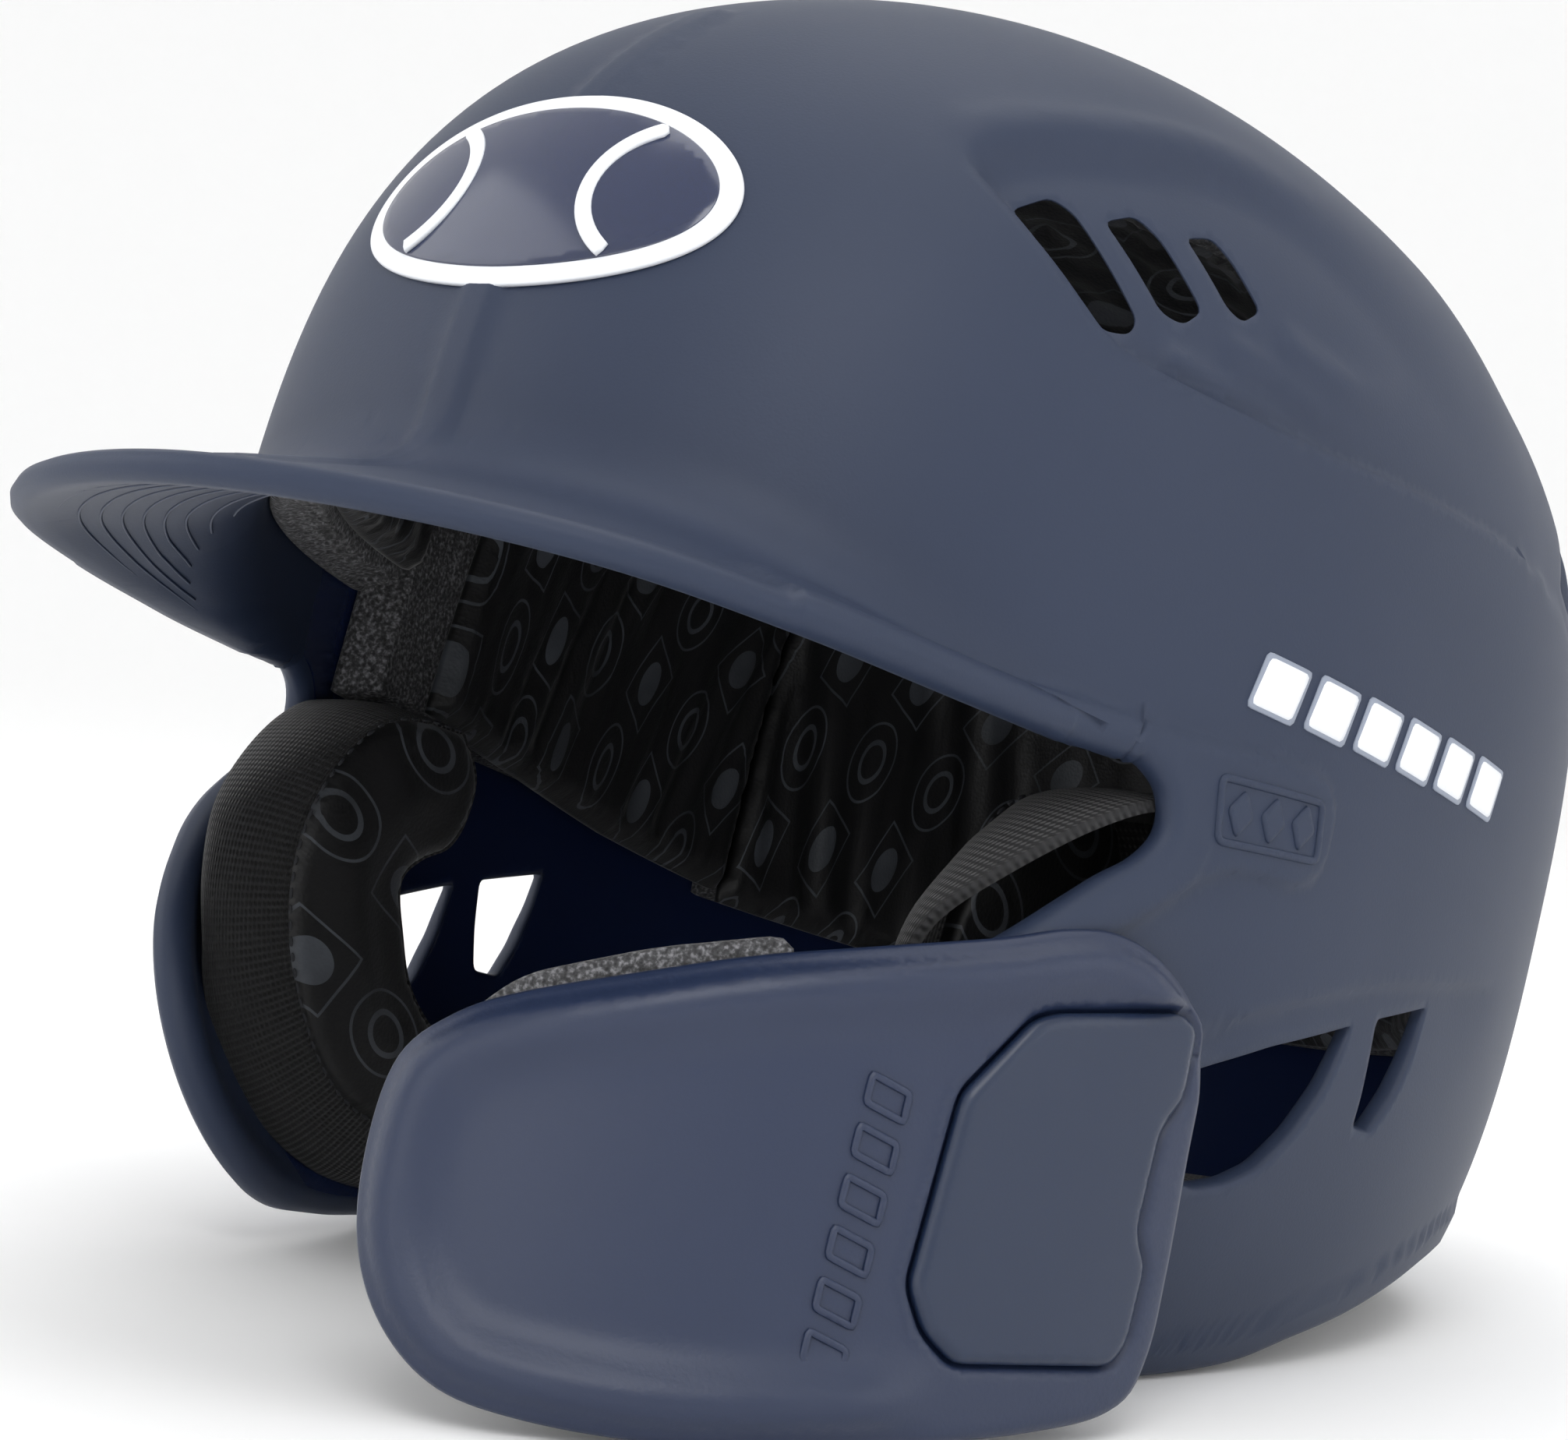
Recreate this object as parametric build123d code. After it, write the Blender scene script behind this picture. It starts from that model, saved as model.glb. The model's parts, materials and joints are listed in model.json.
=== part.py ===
from build123d import *
import math
import os

# Baseball batting helmet with a bolt-on jaw guard on the wearer's left side.
# Millimetres. Everything is modelled level with the brim: the brim points to -Y, the wearer's
# left is +X and the crown is +Z, with the middle of the dome's widest plane at (0, 0, 0).
# At the end the whole helmet leans back onto its rear rim and its ear flaps, as it stands on
# a shelf, with the origin under the middle of its box.

# ---- Driving dimensions -------------------------------------------------------------------
HALF_WIDTH = 102.5       # dome centre to side
FRONT_LENGTH = 131.0     # dome centre to brow
REAR_LENGTH = 143.0      # dome centre to back
CROWN_HEIGHT = 122.0     # widest plane to crown
SKIRT_DEPTH = 134.0      # widest plane down to where the sides would close
PLAN_POWER = 2.16        # roundness of the dome seen from above
SIDE_POWER = 2.85        # roundness of the dome seen from the side
WALL = 3.6               # shell thickness
LEAN = 15.0              # degrees that the standing helmet leans back

BRIM_REACH = 180.0       # dome centre to brim tip
BRIM_HEIGHT = -11.0      # level of the brim's edge
BRIM_RISE = 20.0         # climb of the brim from its edge to the shell
BRIM_WALL = 4.2          # vertical thickness of the brim

FOAM = 9.5               # impact foam thickness
FOAM_GAP = 0.3           # glue line between shell and foam
PAD = 6.0                # comfort pad thickness
EAR_PAD_SKIN = 2.0       # foam left between an insert's free depth and the ear pad's face
EAR_BAND = 2.5           # knit band round each ear pad

SCREW_Y, SCREW_Z = -63.0, -66.0    # upper guard screw
SCREW_PITCH = 18.0                 # screw to screw, upright on the standing helmet
SCREW_R = 2.0
SCREWED_BORE_R = 2.1     # thread of an insert with its screw in, at the thread's root
EMPTY_BORE_R = 1.65      # thread of an empty insert, at the thread's crest
INSERT_R = 3.6
INSERT_LENGTH = 8.0
INSERT_FLANGE_R = 5.5
INSERT_FLANGE = 1.2
PLINTH_STAND = 3.354     # flat pad that takes the guard, proud of the shell at the upper screw
PLINTH_R = 7.0
PLINTH_ROOT = 2.0        # how far the plinth runs in past the insert
STUD_ROOM = 11.0         # free depth behind an insert for the end of a long screw
STUD_SIDE = 4.0          # and how far it reaches past the insert's flange

GUARD_STAND = 17.0         # plinth face to the widest place of the guard's outer curve
GUARD_LENGTH = 118.0
GUARD_CENTRE_Y = -22.0
GUARD_WALL = 4.0
POCKET = 2.2               # depth of the cover's seat in the guard
COVER_WALL = 2.6
COVER_GAP = 0.4            # clearance round and under the cover
GUARD_FOAM = 8.0
WASHER_R, WASHER = 5.2, 0.7
HEAD_R, HEAD = 4.2, 1.8
GROMMET_R, GROMMET = 6.5, 1.4
SLIP = 0.3                 # clearance between pieces that come apart

BADGE = 0.8                # thickness of the brow badge
DECAL = 0.4                # thickness of the side blocks

FAR = 200.0                # past everything


# ---- Shapes that the whole helmet shares --------------------------------------------------
def power(value, exponent):
    return math.copysign(abs(value) ** exponent, value)


def dome(offset):
    """Solid inside the dome's surface, grown by offset (negative shrinks)."""
    sections = []
    for step in range(-6, 11):
        tilt = math.radians(8.4 * step)
        depth = CROWN_HEIGHT if step > 0 else SKIRT_DEPTH
        height = (depth + offset) * power(math.sin(tilt), 2 / SIDE_POWER)
        girth = math.cos(tilt) ** (2 / PLAN_POWER)
        points = []
        for turn in range(24):
            angle = math.radians(15 * turn)
            length = REAR_LENGTH if turn < 12 else FRONT_LENGTH
            x = (HALF_WIDTH + offset) * girth * power(math.cos(angle), 2 / PLAN_POWER)
            y = (length + offset) * girth * power(math.sin(angle), 2 / PLAN_POWER)
            points.append((x, y, height))
        sections.append(make_face(Spline(*points, periodic=True)))
    return loft(sections)


def side_wall(y, z):
    """How far left the dome stands in front of and below its middle."""
    share = 1 - (abs(y) / FRONT_LENGTH) ** PLAN_POWER - (abs(z) / SKIRT_DEPTH) ** SIDE_POWER
    return HALF_WIDTH * share ** (1 / PLAN_POWER)


def side_prism(outline, x_low, x_high):
    """Prism along X over an outline drawn in Y and Z."""
    face = Plane.YZ.offset(x_low) * make_face(outline)
    return extrude(face, x_high - x_low, dir=(1, 0, 0))


def slot_prism(*corners, corner_r, x_low=40, x_high=130):
    """Round-cornered prism along X through the side wall."""
    outline = make_face(Polyline(*corners, close=True))
    outline = fillet(outline.vertices(), corner_r)
    return extrude(Plane.YZ.offset(x_low) * outline, x_high - x_low, dir=(1, 0, 0))


def block(x_low, x_high, y_low, y_high, z_low, z_high):
    size = (x_high - x_low, y_high - y_low, z_high - z_low)
    return Pos(x_low, y_low, z_low) * Box(*size, align=(Align.MIN, Align.MIN, Align.MIN))


def rod(radius, x_low, x_high, y, z):
    """Round bar along X."""
    return Pos(x_low, y, z) * Rot(Y=90) * Cylinder(
        radius, x_high - x_low, align=(Align.CENTER, Align.CENTER, Align.MIN))


def flip(shape):
    return mirror(shape, about=Plane.YZ)


def joined(shapes):
    return Compound(children=[piece for shape in shapes for piece in shape.solids()])


outer = dome(0)
inner = dome(-WALL)
foam_outer = dome(-WALL - FOAM_GAP)
foam_inner = dome(-WALL - FOAM_GAP - FOAM)
pad_inner = dome(-WALL - FOAM_GAP - FOAM - PAD)
foam_layer = foam_outer - foam_inner
pad_layer = foam_inner - pad_inner

lean = math.radians(LEAN)
screw_places = [
    (SCREW_Y + step * SCREW_PITCH * math.sin(lean), SCREW_Z - step * SCREW_PITCH * math.cos(lean))
    for step in range(2)]

plinth_face = side_wall(SCREW_Y, SCREW_Z) + PLINTH_STAND
insert_back = plinth_face - INSERT_LENGTH
ear_pad_face = insert_back - STUD_ROOM - EAR_PAD_SKIN
guard_half_width = plinth_face + GUARD_STAND
print("plinth face", round(plinth_face, 3))

nodes = {}


# ---- Outer shell --------------------------------------------------------------------------
def shell_outline():
    """Side view of the shell: the brow, the temple corner, the ear flap and the rear rim."""
    rim = Spline(
        (-62, -10), (-55.5, -18), (-60, -29), (-73, -43.5), (-84, -57), (-87.5, -70), (-81, -88),
        (-63, -101), (-38, -105), (-10, -101), (14, -94), (43, -80), (68, -67), (98, -60.5))
    return [rim, Polyline(rim @ 1, (FAR, -60.5), (FAR, FAR), (-FAR, FAR), (-FAR, 1), (-100, -1),
                          rim @ 0)]


def brim_solid(drop):
    """Mound under the brim's top surface, moved down by drop."""
    side_y = -57.0
    edge = [(24, -0.978), (46, -0.926), (64, -0.841), (76, -0.7), (85, -0.533)]
    left = [(x, y * BRIM_REACH) for x, y in edge]
    points = [(95, side_y), *reversed(left), (0, -BRIM_REACH)]
    points += [(-x, y) for x, y in left] + [(-95, side_y)]
    foot = Spline(*[(x, y, BRIM_HEIGHT) for x, y in points])
    root = []
    start = math.asin((-side_y / (FRONT_LENGTH - WALL)) ** (PLAN_POWER / 2))
    for step in range(13):
        angle = start + (math.pi - 2 * start) * step / 12
        x = (HALF_WIDTH - WALL) * power(math.cos(angle), 2 / PLAN_POWER)
        y = -(FRONT_LENGTH - WALL) * math.sin(angle) ** (2 / PLAN_POWER)
        root.append((x, y, BRIM_HEIGHT + BRIM_RISE))
    top = Spline(*root)
    faces = [make_face([curve, Line(curve @ 1, curve @ 0)]) for curve in (foot, top)]
    return Pos(0, 0, -drop) * loft(faces)


brim = brim_solid(0) - brim_solid(BRIM_WALL) - inner
brim = brim - block(-FAR, FAR, -FAR, FAR, -FAR, BRIM_HEIGHT - 0.5)
shell = (outer - inner) & side_prism(shell_outline(), -FAR, FAR)
shell = shell + brim

vents = [
    slot_prism((-90, 65.5), (-83, 70), (-73, 54), (-78.5, 50), corner_r=1.5),
    slot_prism((-76, 69.5), (-70, 72.5), (-61.5, 60), (-67.5, 56.5), corner_r=1.5),
    slot_prism((-61.5, 73), (-56, 75), (-49, 65), (-54.5, 62), corner_r=1.5),
    slot_prism((72, 72), (80, 68), (68, 52), (60, 55), corner_r=1.5, x_low=30),
    slot_prism((88, 62), (95, 57), (84, 42), (77, 46), corner_r=1.5, x_low=30),
    slot_prism((101, 49), (107, 43), (98, 31), (92, 35), corner_r=1.5, x_low=30),
]
ear_opening = slot_prism(
    (-38, -57), (-18, -45.5), (2, -37.5), (-2, -51), (-10, -64), (-20, -70.5), (-31, -70),
    corner_r=2)
ear_slot = slot_prism((9, -34.5), (26, -28.5), (23, -43), (17, -52), (11, -52.5), corner_r=2)
for cut in [*vents, ear_opening, ear_slot]:
    shell = shell - cut - flip(cut)

# A plinth on each ear flap, with a bore for each threaded insert.
for place in (lambda shape: shape, flip):
    for y, z in screw_places:
        shell = shell + place(rod(PLINTH_R, insert_back - PLINTH_ROOT, plinth_face, y, z))
    for y, z in screw_places:
        shell = shell - place(rod(PLINTH_R + SLIP, plinth_face, FAR, y, z))
        shell = shell - place(rod(INSERT_FLANGE_R, 0, insert_back, y, z))
        shell = shell - place(rod(INSERT_R, 0, FAR, y, z))
nodes["outer_shell"] = shell


# ---- Threaded inserts ---------------------------------------------------------------------
def insert(y, z, bore_r):
    body = rod(INSERT_R, insert_back, plinth_face, y, z)
    flange = rod(INSERT_FLANGE_R, insert_back - INSERT_FLANGE, insert_back, y, z)
    return body + flange - rod(bore_r, 0, FAR, y, z)


nodes["guard_inserts_left"] = joined(
    [insert(y, z, SCREWED_BORE_R) for y, z in screw_places])
nodes["spare_inserts_right"] = joined(
    [flip(insert(y, z, EMPTY_BORE_R)) for y, z in screw_places])


# ---- Liner: impact foam and comfort pads ---------------------------------------------------
FRONT_END = -50.0        # where the front and side liners meet
REAR_END = 62.0          # where the side and rear liners meet
SEAM = 1.0               # half the gap between liner pieces
LINER_TOP = 47.0
BROW_LINE = 6.0          # lower edge of the brow liner
SIDE_LINE = -13.0        # lower edge of the side liners
NAPE_LINE = -28.0        # lower edge of the rear liner
CROWN_LINE = CROWN_HEIGHT - 38.0   # lower edge of the crown liner

foam_zones = {
    "front": block(-FAR, FAR, -FAR, FRONT_END - SEAM, BROW_LINE, LINER_TOP),
    "left": block(0, FAR, FRONT_END + SEAM, REAR_END - SEAM, SIDE_LINE, LINER_TOP),
    "right": block(-FAR, 0, FRONT_END + SEAM, REAR_END - SEAM, SIDE_LINE, LINER_TOP),
    "rear": block(-FAR, FAR, REAR_END + SEAM, FAR, NAPE_LINE, LINER_TOP),
    "crown": block(-FAR, FAR, -FAR, FAR, CROWN_LINE, FAR),
}
PAD_INSET = 5.0          # foam left showing round a comfort pad
pad_zones = {
    "front": block(-62, 62, -FAR, FRONT_END - SEAM, BROW_LINE + PAD_INSET, LINER_TOP - PAD_INSET),
    "left": block(0, FAR, FRONT_END + 4 * PAD_INSET, REAR_END - 3 * SEAM, SIDE_LINE,
                  LINER_TOP - PAD_INSET),
    "right": block(-FAR, 0, FRONT_END + 4 * PAD_INSET, REAR_END - 3 * SEAM, SIDE_LINE,
                   LINER_TOP - PAD_INSET),
    "rear": block(-FAR, FAR, REAR_END + 3 * SEAM, FAR, NAPE_LINE + PAD_INSET,
                  LINER_TOP - PAD_INSET),
    "crown": block(-FAR, FAR, -FAR, FAR, CROWN_LINE + PAD_INSET, FAR),
}
for name, zone in foam_zones.items():
    nodes[f"base_foam_{name}"] = foam_layer & zone
for name, zone in pad_zones.items():
    nodes[f"comfort_pad_{name}"] = pad_layer & zone


# ---- Ear pads -----------------------------------------------------------------------------
def ear_outline(inset):
    """C-shaped side view, open to the rear, drawn in by inset."""
    back, lip = 14 - inset, 24 - 2 * inset
    outer_edge = Spline(
        (-34, -14 - inset), (-52, -17 - inset), (-69 + inset, -32), (-77 + inset, -52),
        (-72 + inset, -74 + inset / 2), (-54, -90 + inset), (-30, -95 + inset),
        (back, -88 + inset))
    tail = Line(outer_edge @ 1, (back, outer_edge.position_at(1).Y + lip))
    inner_edge = Spline(
        tail @ 1, (-16, -71 - inset), (-34 - inset, -62), (-42 - inset, -47), (-34, -38 + inset))
    tip = ThreePointArc(inner_edge @ 1, (-24 - inset, -26), outer_edge @ 0)
    return [outer_edge, tail, inner_edge, tip]


ear_space = dome(-WALL - SLIP)
insert_room = [rod(INSERT_FLANGE_R + STUD_SIDE, insert_back - STUD_ROOM, FAR, y, z)
               for y, z in screw_places]
ear_block = ear_space & side_prism(ear_outline(0), ear_pad_face, FAR)
ear_core = ear_space & side_prism(ear_outline(EAR_BAND), ear_pad_face, FAR)
for room in insert_room:
    ear_block = ear_block - room
    ear_core = ear_core - room
ear_band = ear_block - side_prism(ear_outline(EAR_BAND), 0, FAR)
for side, place in (("left", lambda shape: shape), ("right", flip)):
    nodes[f"ear_pad_{side}"] = place(ear_core)
    nodes[f"ear_pad_band_{side}"] = place(ear_band)


# ---- Jaw guard ----------------------------------------------------------------------------
def guard_column(offset):
    """Upright elliptic column inside the guard's outer curve, grown by offset."""
    curve = Ellipse(guard_half_width + offset, GUARD_LENGTH + offset)
    return Pos(0, GUARD_CENTRE_Y, -160) * extrude(curve, 140)


def guard_side(y, offset):
    """How far left the guard's curve stands at a given y."""
    reach = (y - GUARD_CENTRE_Y) / (GUARD_LENGTH + offset)
    return (guard_half_width + offset) * math.sqrt(1 - reach ** 2)


GUARD_FACING = -42.0     # turn from straight left to straight out of the guard's middle


def guard_prism(outline, depth=FAR):
    """Prism that looks straight at the guard's middle; outline is across (to the rear) and up."""
    facing = math.radians(GUARD_FACING)
    plane = Plane(origin=(0, 0, 0), x_dir=(-math.sin(facing), math.cos(facing), 0),
                  z_dir=(math.cos(facing), math.sin(facing), 0))
    return extrude(plane * outline, depth)


def rounded(points, radii):
    """Closed outline with its own radius at each corner."""
    return make_face(FilletPolyline(*points, radius=radii, close=True))


guard_outline = rounded(
    [(-78, -83), (-58, -71), (-12, -57), (22, -44), (37, -39), (41, -50), (36, -98), (30, -108),
     (4, -118), (-48, -127), (-70, -125), (-80, -106)],
    [12, 30, 30, 12, 5, 12, 8, 10, 30, 14, 10, 12])
guard = guard_column(0) - guard_column(-GUARD_WALL)
guard = guard & guard_prism(guard_outline)

cover_outline = [(-4, -68), (7, -54), (31, -46.5), (35.5, -49.5), (34.5, -60), (31, -64),
                 (31, -81), (35, -85), (34.5, -97), (31, -101.5), (4, -106), (-4, -101)]
cover_shape = rounded(cover_outline, [2, 2, 2, 2, 2, 2, 2, 2, 2, 2, 2, 2])
pocket_shape = offset(cover_shape, COVER_GAP, kind=Kind.INTERSECTION)
guard = guard - ((guard_column(FAR) - guard_column(-POCKET)) & guard_prism(pocket_shape))

boss_face = plinth_face + GROMMET
for y, z in screw_places:
    boss = rod(PLINTH_R, boss_face, FAR, y, z) & guard_column(-GUARD_WALL / 2)
    guard = guard + boss
head_seat = guard_side(SCREW_Y - HEAD_R, -POCKET) - SLIP - HEAD - WASHER
for y, z in screw_places:
    guard = guard - rod(SCREW_R + 0.4, 0, FAR, y, z) - rod(WASHER_R + SLIP, head_seat, FAR, y, z)

peg_places = [(-58, -50.5), (-52, -96)]
PEG_R = 2.0
PEG_LENGTH = 11.0        # from the widest place of the guard's curve inwards
for y, z in peg_places:
    guard = guard - rod(PEG_R + SLIP, 0, FAR, y, z)
nodes["jaw_guard"] = guard

foam_outline = rounded(
    [(-75, -84), (-56, -66), (-30, -59), (-30, -119), (-46, -122), (-66, -120), (-76, -104)],
    [10, 20, 3, 3, 10, 8, 10])
guard_foam = guard_column(-GUARD_WALL - SLIP / 3) - guard_column(-GUARD_WALL - GUARD_FOAM)
nodes["jaw_guard_foam"] = guard_foam & guard_prism(foam_outline)

screws, washers, grommets = [], [], []
for y, z in screw_places:
    shank = rod(SCREW_R, insert_back, head_seat + WASHER, y, z)
    head = rod(HEAD_R, head_seat + WASHER, head_seat + WASHER + HEAD, y, z)
    socket = Pos(head_seat + WASHER + HEAD, y, z) * Rot(Y=90) * extrude(
        RegularPolygon(1.6, 6), -HEAD / 2)
    screws.append(shank + head - socket)
    washers.append(rod(WASHER_R, head_seat, head_seat + WASHER, y, z)
                   - rod(SCREW_R + 0.1, 0, FAR, y, z))
    grommets.append(rod(GROMMET_R, plinth_face + 0.1, boss_face, y, z)
                    - rod(SCREW_R + 0.3, 0, FAR, y, z))
nodes["guard_screws"] = joined(screws)
nodes["guard_washers"] = joined(washers)
nodes["guard_grommets"] = joined(grommets)

cover = guard_column(COVER_WALL + COVER_GAP - POCKET) - guard_column(COVER_GAP - POCKET)
cover = cover & guard_prism(cover_shape)
for y, z in peg_places:
    peg = rod(PEG_R, guard_half_width - PEG_LENGTH, FAR, y, z)
    cover = cover + (peg & guard_column(COVER_WALL / 2 - POCKET))
nodes["guard_cover"] = cover


# ---- Badge and side blocks ------------------------------------------------------------------
BADGE_HALF_WIDTH, BADGE_HALF_HEIGHT = 37.0, 19.0
BADGE_RING = 3.2
BADGE_HEIGHT = 34.0      # where the badge's axis crosses 60 mm ahead of the middle
BADGE_TILT = 16.0
badge_plane = Plane(origin=(0, -60, BADGE_HEIGHT), x_dir=(1, 0, 0),
                    z_dir=(0, -math.cos(math.radians(BADGE_TILT)),
                           math.sin(math.radians(BADGE_TILT))))
badge_layer = dome(BADGE) - outer


def badge_prism(inset):
    oval = Ellipse(BADGE_HALF_WIDTH - inset, BADGE_HALF_HEIGHT - inset)
    return extrude(badge_plane * oval, FAR)


nodes["brow_badge"] = badge_layer & badge_prism(BADGE_RING)
nodes["brow_badge_ring"] = badge_layer & (badge_prism(0) - badge_prism(BADGE_RING))

BLOCKS = 6
decal_layer = dome(DECAL) - outer
left_blocks, right_blocks = [], []
for count in range(BLOCKS):
    y = -45 + 13 * count
    z = 6 + 0.6 * count
    bar = make_face(Polyline((y, z - 4), (y + 9, z - 4), (y + 11, z + 4), (y + 2, z + 4),
                             close=True))
    prism = extrude(Plane.YZ * bar, FAR, dir=(1, 0, 0))
    left_blocks.append(decal_layer & prism)
    right_blocks.append(decal_layer & flip(prism))
nodes["side_blocks_left"] = joined(left_blocks)
nodes["side_blocks_right"] = joined(right_blocks)


# ---- Stand the helmet on its rim and write each node ----------------------------------------
leaned = {name: Rot(X=-LEAN) * shape for name, shape in nodes.items()}
points = [point for shape in leaned.values() for point in shape.tessellate(0.2, 0.2)[0]]
middle_y = (min(point.Y for point in points) + max(point.Y for point in points)) / 2
lowest = min(point.Z for point in points)
print("dome centre stands at", 0, round(-middle_y, 2), round(-lowest, 2))
os.makedirs("parts", exist_ok=True)
for name, shape in leaned.items():
    export_step(Pos(0, -middle_y, -lowest) * shape, f"parts/{name}.step")
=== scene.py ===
"""Batting helmet with a jaw guard: visible skins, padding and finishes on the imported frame.

Every skin is drawn level with the brim, in millimetres (front at -Y, wearer's left at +X), and is
leaned back and moved onto the frame when its mesh is made.
"""
import json
import logging
import math
from dataclasses import dataclass, field
from enum import Enum
from functools import reduce

import bpy
import numpy as np
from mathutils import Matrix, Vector
from mathutils.geometry import delaunay_2d_cdt
from mathutils.kdtree import KDTree


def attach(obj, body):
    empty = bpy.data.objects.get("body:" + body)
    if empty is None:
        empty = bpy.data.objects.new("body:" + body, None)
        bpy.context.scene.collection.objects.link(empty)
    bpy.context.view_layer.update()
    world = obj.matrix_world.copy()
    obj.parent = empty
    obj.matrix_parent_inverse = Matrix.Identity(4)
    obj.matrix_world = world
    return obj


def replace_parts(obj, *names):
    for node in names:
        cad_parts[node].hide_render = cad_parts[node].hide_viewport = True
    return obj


logging.basicConfig(level=logging.INFO, format="%(message)s")
log = logging.getLogger("helmet")
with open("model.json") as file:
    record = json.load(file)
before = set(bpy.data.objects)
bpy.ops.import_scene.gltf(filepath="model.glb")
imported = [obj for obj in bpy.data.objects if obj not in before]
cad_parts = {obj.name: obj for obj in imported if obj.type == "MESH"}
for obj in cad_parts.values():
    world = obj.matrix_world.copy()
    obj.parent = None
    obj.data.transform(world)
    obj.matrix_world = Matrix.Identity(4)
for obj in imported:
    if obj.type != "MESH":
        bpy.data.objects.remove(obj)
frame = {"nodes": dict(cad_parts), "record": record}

LEAN = math.radians(15.0)            # the standing helmet leans back this far
INSERTS_LEVEL = (-88.0, -60.67, -74.69)   # middle of the spare guard inserts, level with the brim
WALL = 3.6                           # shell thickness
FOAM_FACE = 13.4                     # dome surface to the face of the impact foam
PAD_FACE = 19.4                      # dome surface to the face of the comfort pads
CLOTH_UNIT = 100.0                   # millimetres of cloth to one unit of its UV map
ROW_RISE = 0.866                     # height of a row of near-equal triangles, per side length


class Side(Enum):
    """The wearer's side that a mirrored piece is on."""

    LEFT = 1
    RIGHT = -1

    @property
    def word(self) -> str:
        """The side's name as the frame spells it."""
        return self.name.lower()


# ---- Placing and small mathematics ---------------------------------------------------------
def stand_offset() -> np.ndarray:
    """Finds where the level model's origin stands in the frame.

    Returns:
        The origin's place in millimetres.
    """
    mount = next(m for m in frame["record"]["mounts"] if m["name"] == "spare_guard_inserts")
    place = np.array(mount["pos_m"], float) * 1000.0
    x, y, z = INSERTS_LEVEL
    turned = np.array([x, y * math.cos(LEAN) + z * math.sin(LEAN),
                       -y * math.sin(LEAN) + z * math.cos(LEAN)])
    return place - turned


def to_frame(points: np.ndarray) -> np.ndarray:
    """Leans level points back and moves them onto the frame.

    Args:
        points: Rows of x, y, z in millimetres, level with the brim.

    Returns:
        Rows in metres in the frame.
    """
    x, y, z = np.asarray(points, float).T
    turned = np.stack([x, y * math.cos(LEAN) + z * math.sin(LEAN),
                       -y * math.sin(LEAN) + z * math.cos(LEAN)], 1)
    return (turned + STAND) / 1000.0


def unit(rows: np.ndarray) -> np.ndarray:
    """Rows scaled to length one."""
    return rows / np.maximum(np.linalg.norm(rows, axis=1, keepdims=True), 1e-9)


def ramp(value: np.ndarray, low: float, high: float) -> np.ndarray:
    """Smooth step from 0 at low to 1 at high."""
    t = np.clip((value - low) / (high - low), 0.0, 1.0)
    return t * t * (3.0 - 2.0 * t)


def swell(value: np.ndarray, middle: float, width: float) -> np.ndarray:
    """Bell of height 1 about middle."""
    return np.exp(-((value - middle) / width) ** 2)


def resample(points: np.ndarray, step: float, closed: bool = False) -> np.ndarray:
    """Spaces points evenly along a polyline.

    Args:
        points: Rows of the polyline.
        step: Distance between the new points.
        closed: Whether the line returns to its start.

    Returns:
        The evenly spaced rows; a closed line doesn't repeat its start.
    """
    rows = np.vstack([points, points[:1]]) if closed else np.asarray(points, float)
    run = np.concatenate([[0.0], np.cumsum(np.linalg.norm(np.diff(rows, axis=0), axis=1))])
    count = max(int(round(run[-1] / step)), 3)
    marks = np.linspace(0.0, run[-1], count + 1)
    even = np.stack([np.interp(marks, run, column) for column in rows.T], 1)
    return even[:-1] if closed else even


def flowing(points: list, step: float, closed: bool = False) -> np.ndarray:
    """Smooth line through points, spaced evenly.

    Args:
        points: Corner points that the line passes through.
        step: Distance between the new points.
        closed: Whether the line returns to its start.

    Returns:
        Rows along the line.
    """
    rows = np.asarray(points, float)
    if closed:
        padded = np.vstack([rows[-1:], rows, rows[:2]])
    else:
        padded = np.vstack([2 * rows[0] - rows[1], rows, 2 * rows[-1] - rows[-2]])
    spans = []
    for i in range(len(padded) - 3):
        a, b, c, d = padded[i:i + 4]
        t = np.linspace(0.0, 1.0, 12, endpoint=False)[:, None]
        spans.append(0.5 * (2 * b + (c - a) * t + (2 * a - 5 * b + 4 * c - d) * t ** 2
                            + (3 * b - a - 3 * c + d) * t ** 3))
    line = np.vstack(spans if closed else spans + [padded[-2:-1]])
    return resample(line, step, closed)


def rounded(corners: list, radius: float, step: float = 1.2) -> np.ndarray:
    """Closed outline with rounded corners.

    Args:
        corners: The outline's corners.
        radius: Radius at every corner, less where its sides are short.
        step: Distance between points.

    Returns:
        Rows round the outline.
    """
    rows = np.asarray(corners, float)
    line = []
    for i, corner in enumerate(rows):
        back, ahead = rows[i - 1] - corner, rows[(i + 1) % len(rows)] - corner
        reach = min(radius, 0.45 * np.linalg.norm(back), 0.45 * np.linalg.norm(ahead))
        start = corner + reach * back / np.linalg.norm(back)
        end = corner + reach * ahead / np.linalg.norm(ahead)
        for t in np.linspace(0.0, 1.0, 6):
            line.append((1 - t) ** 2 * start + 2 * t * (1 - t) * corner + t * t * end)
    return resample(np.array(line), step, closed=True)


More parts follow.
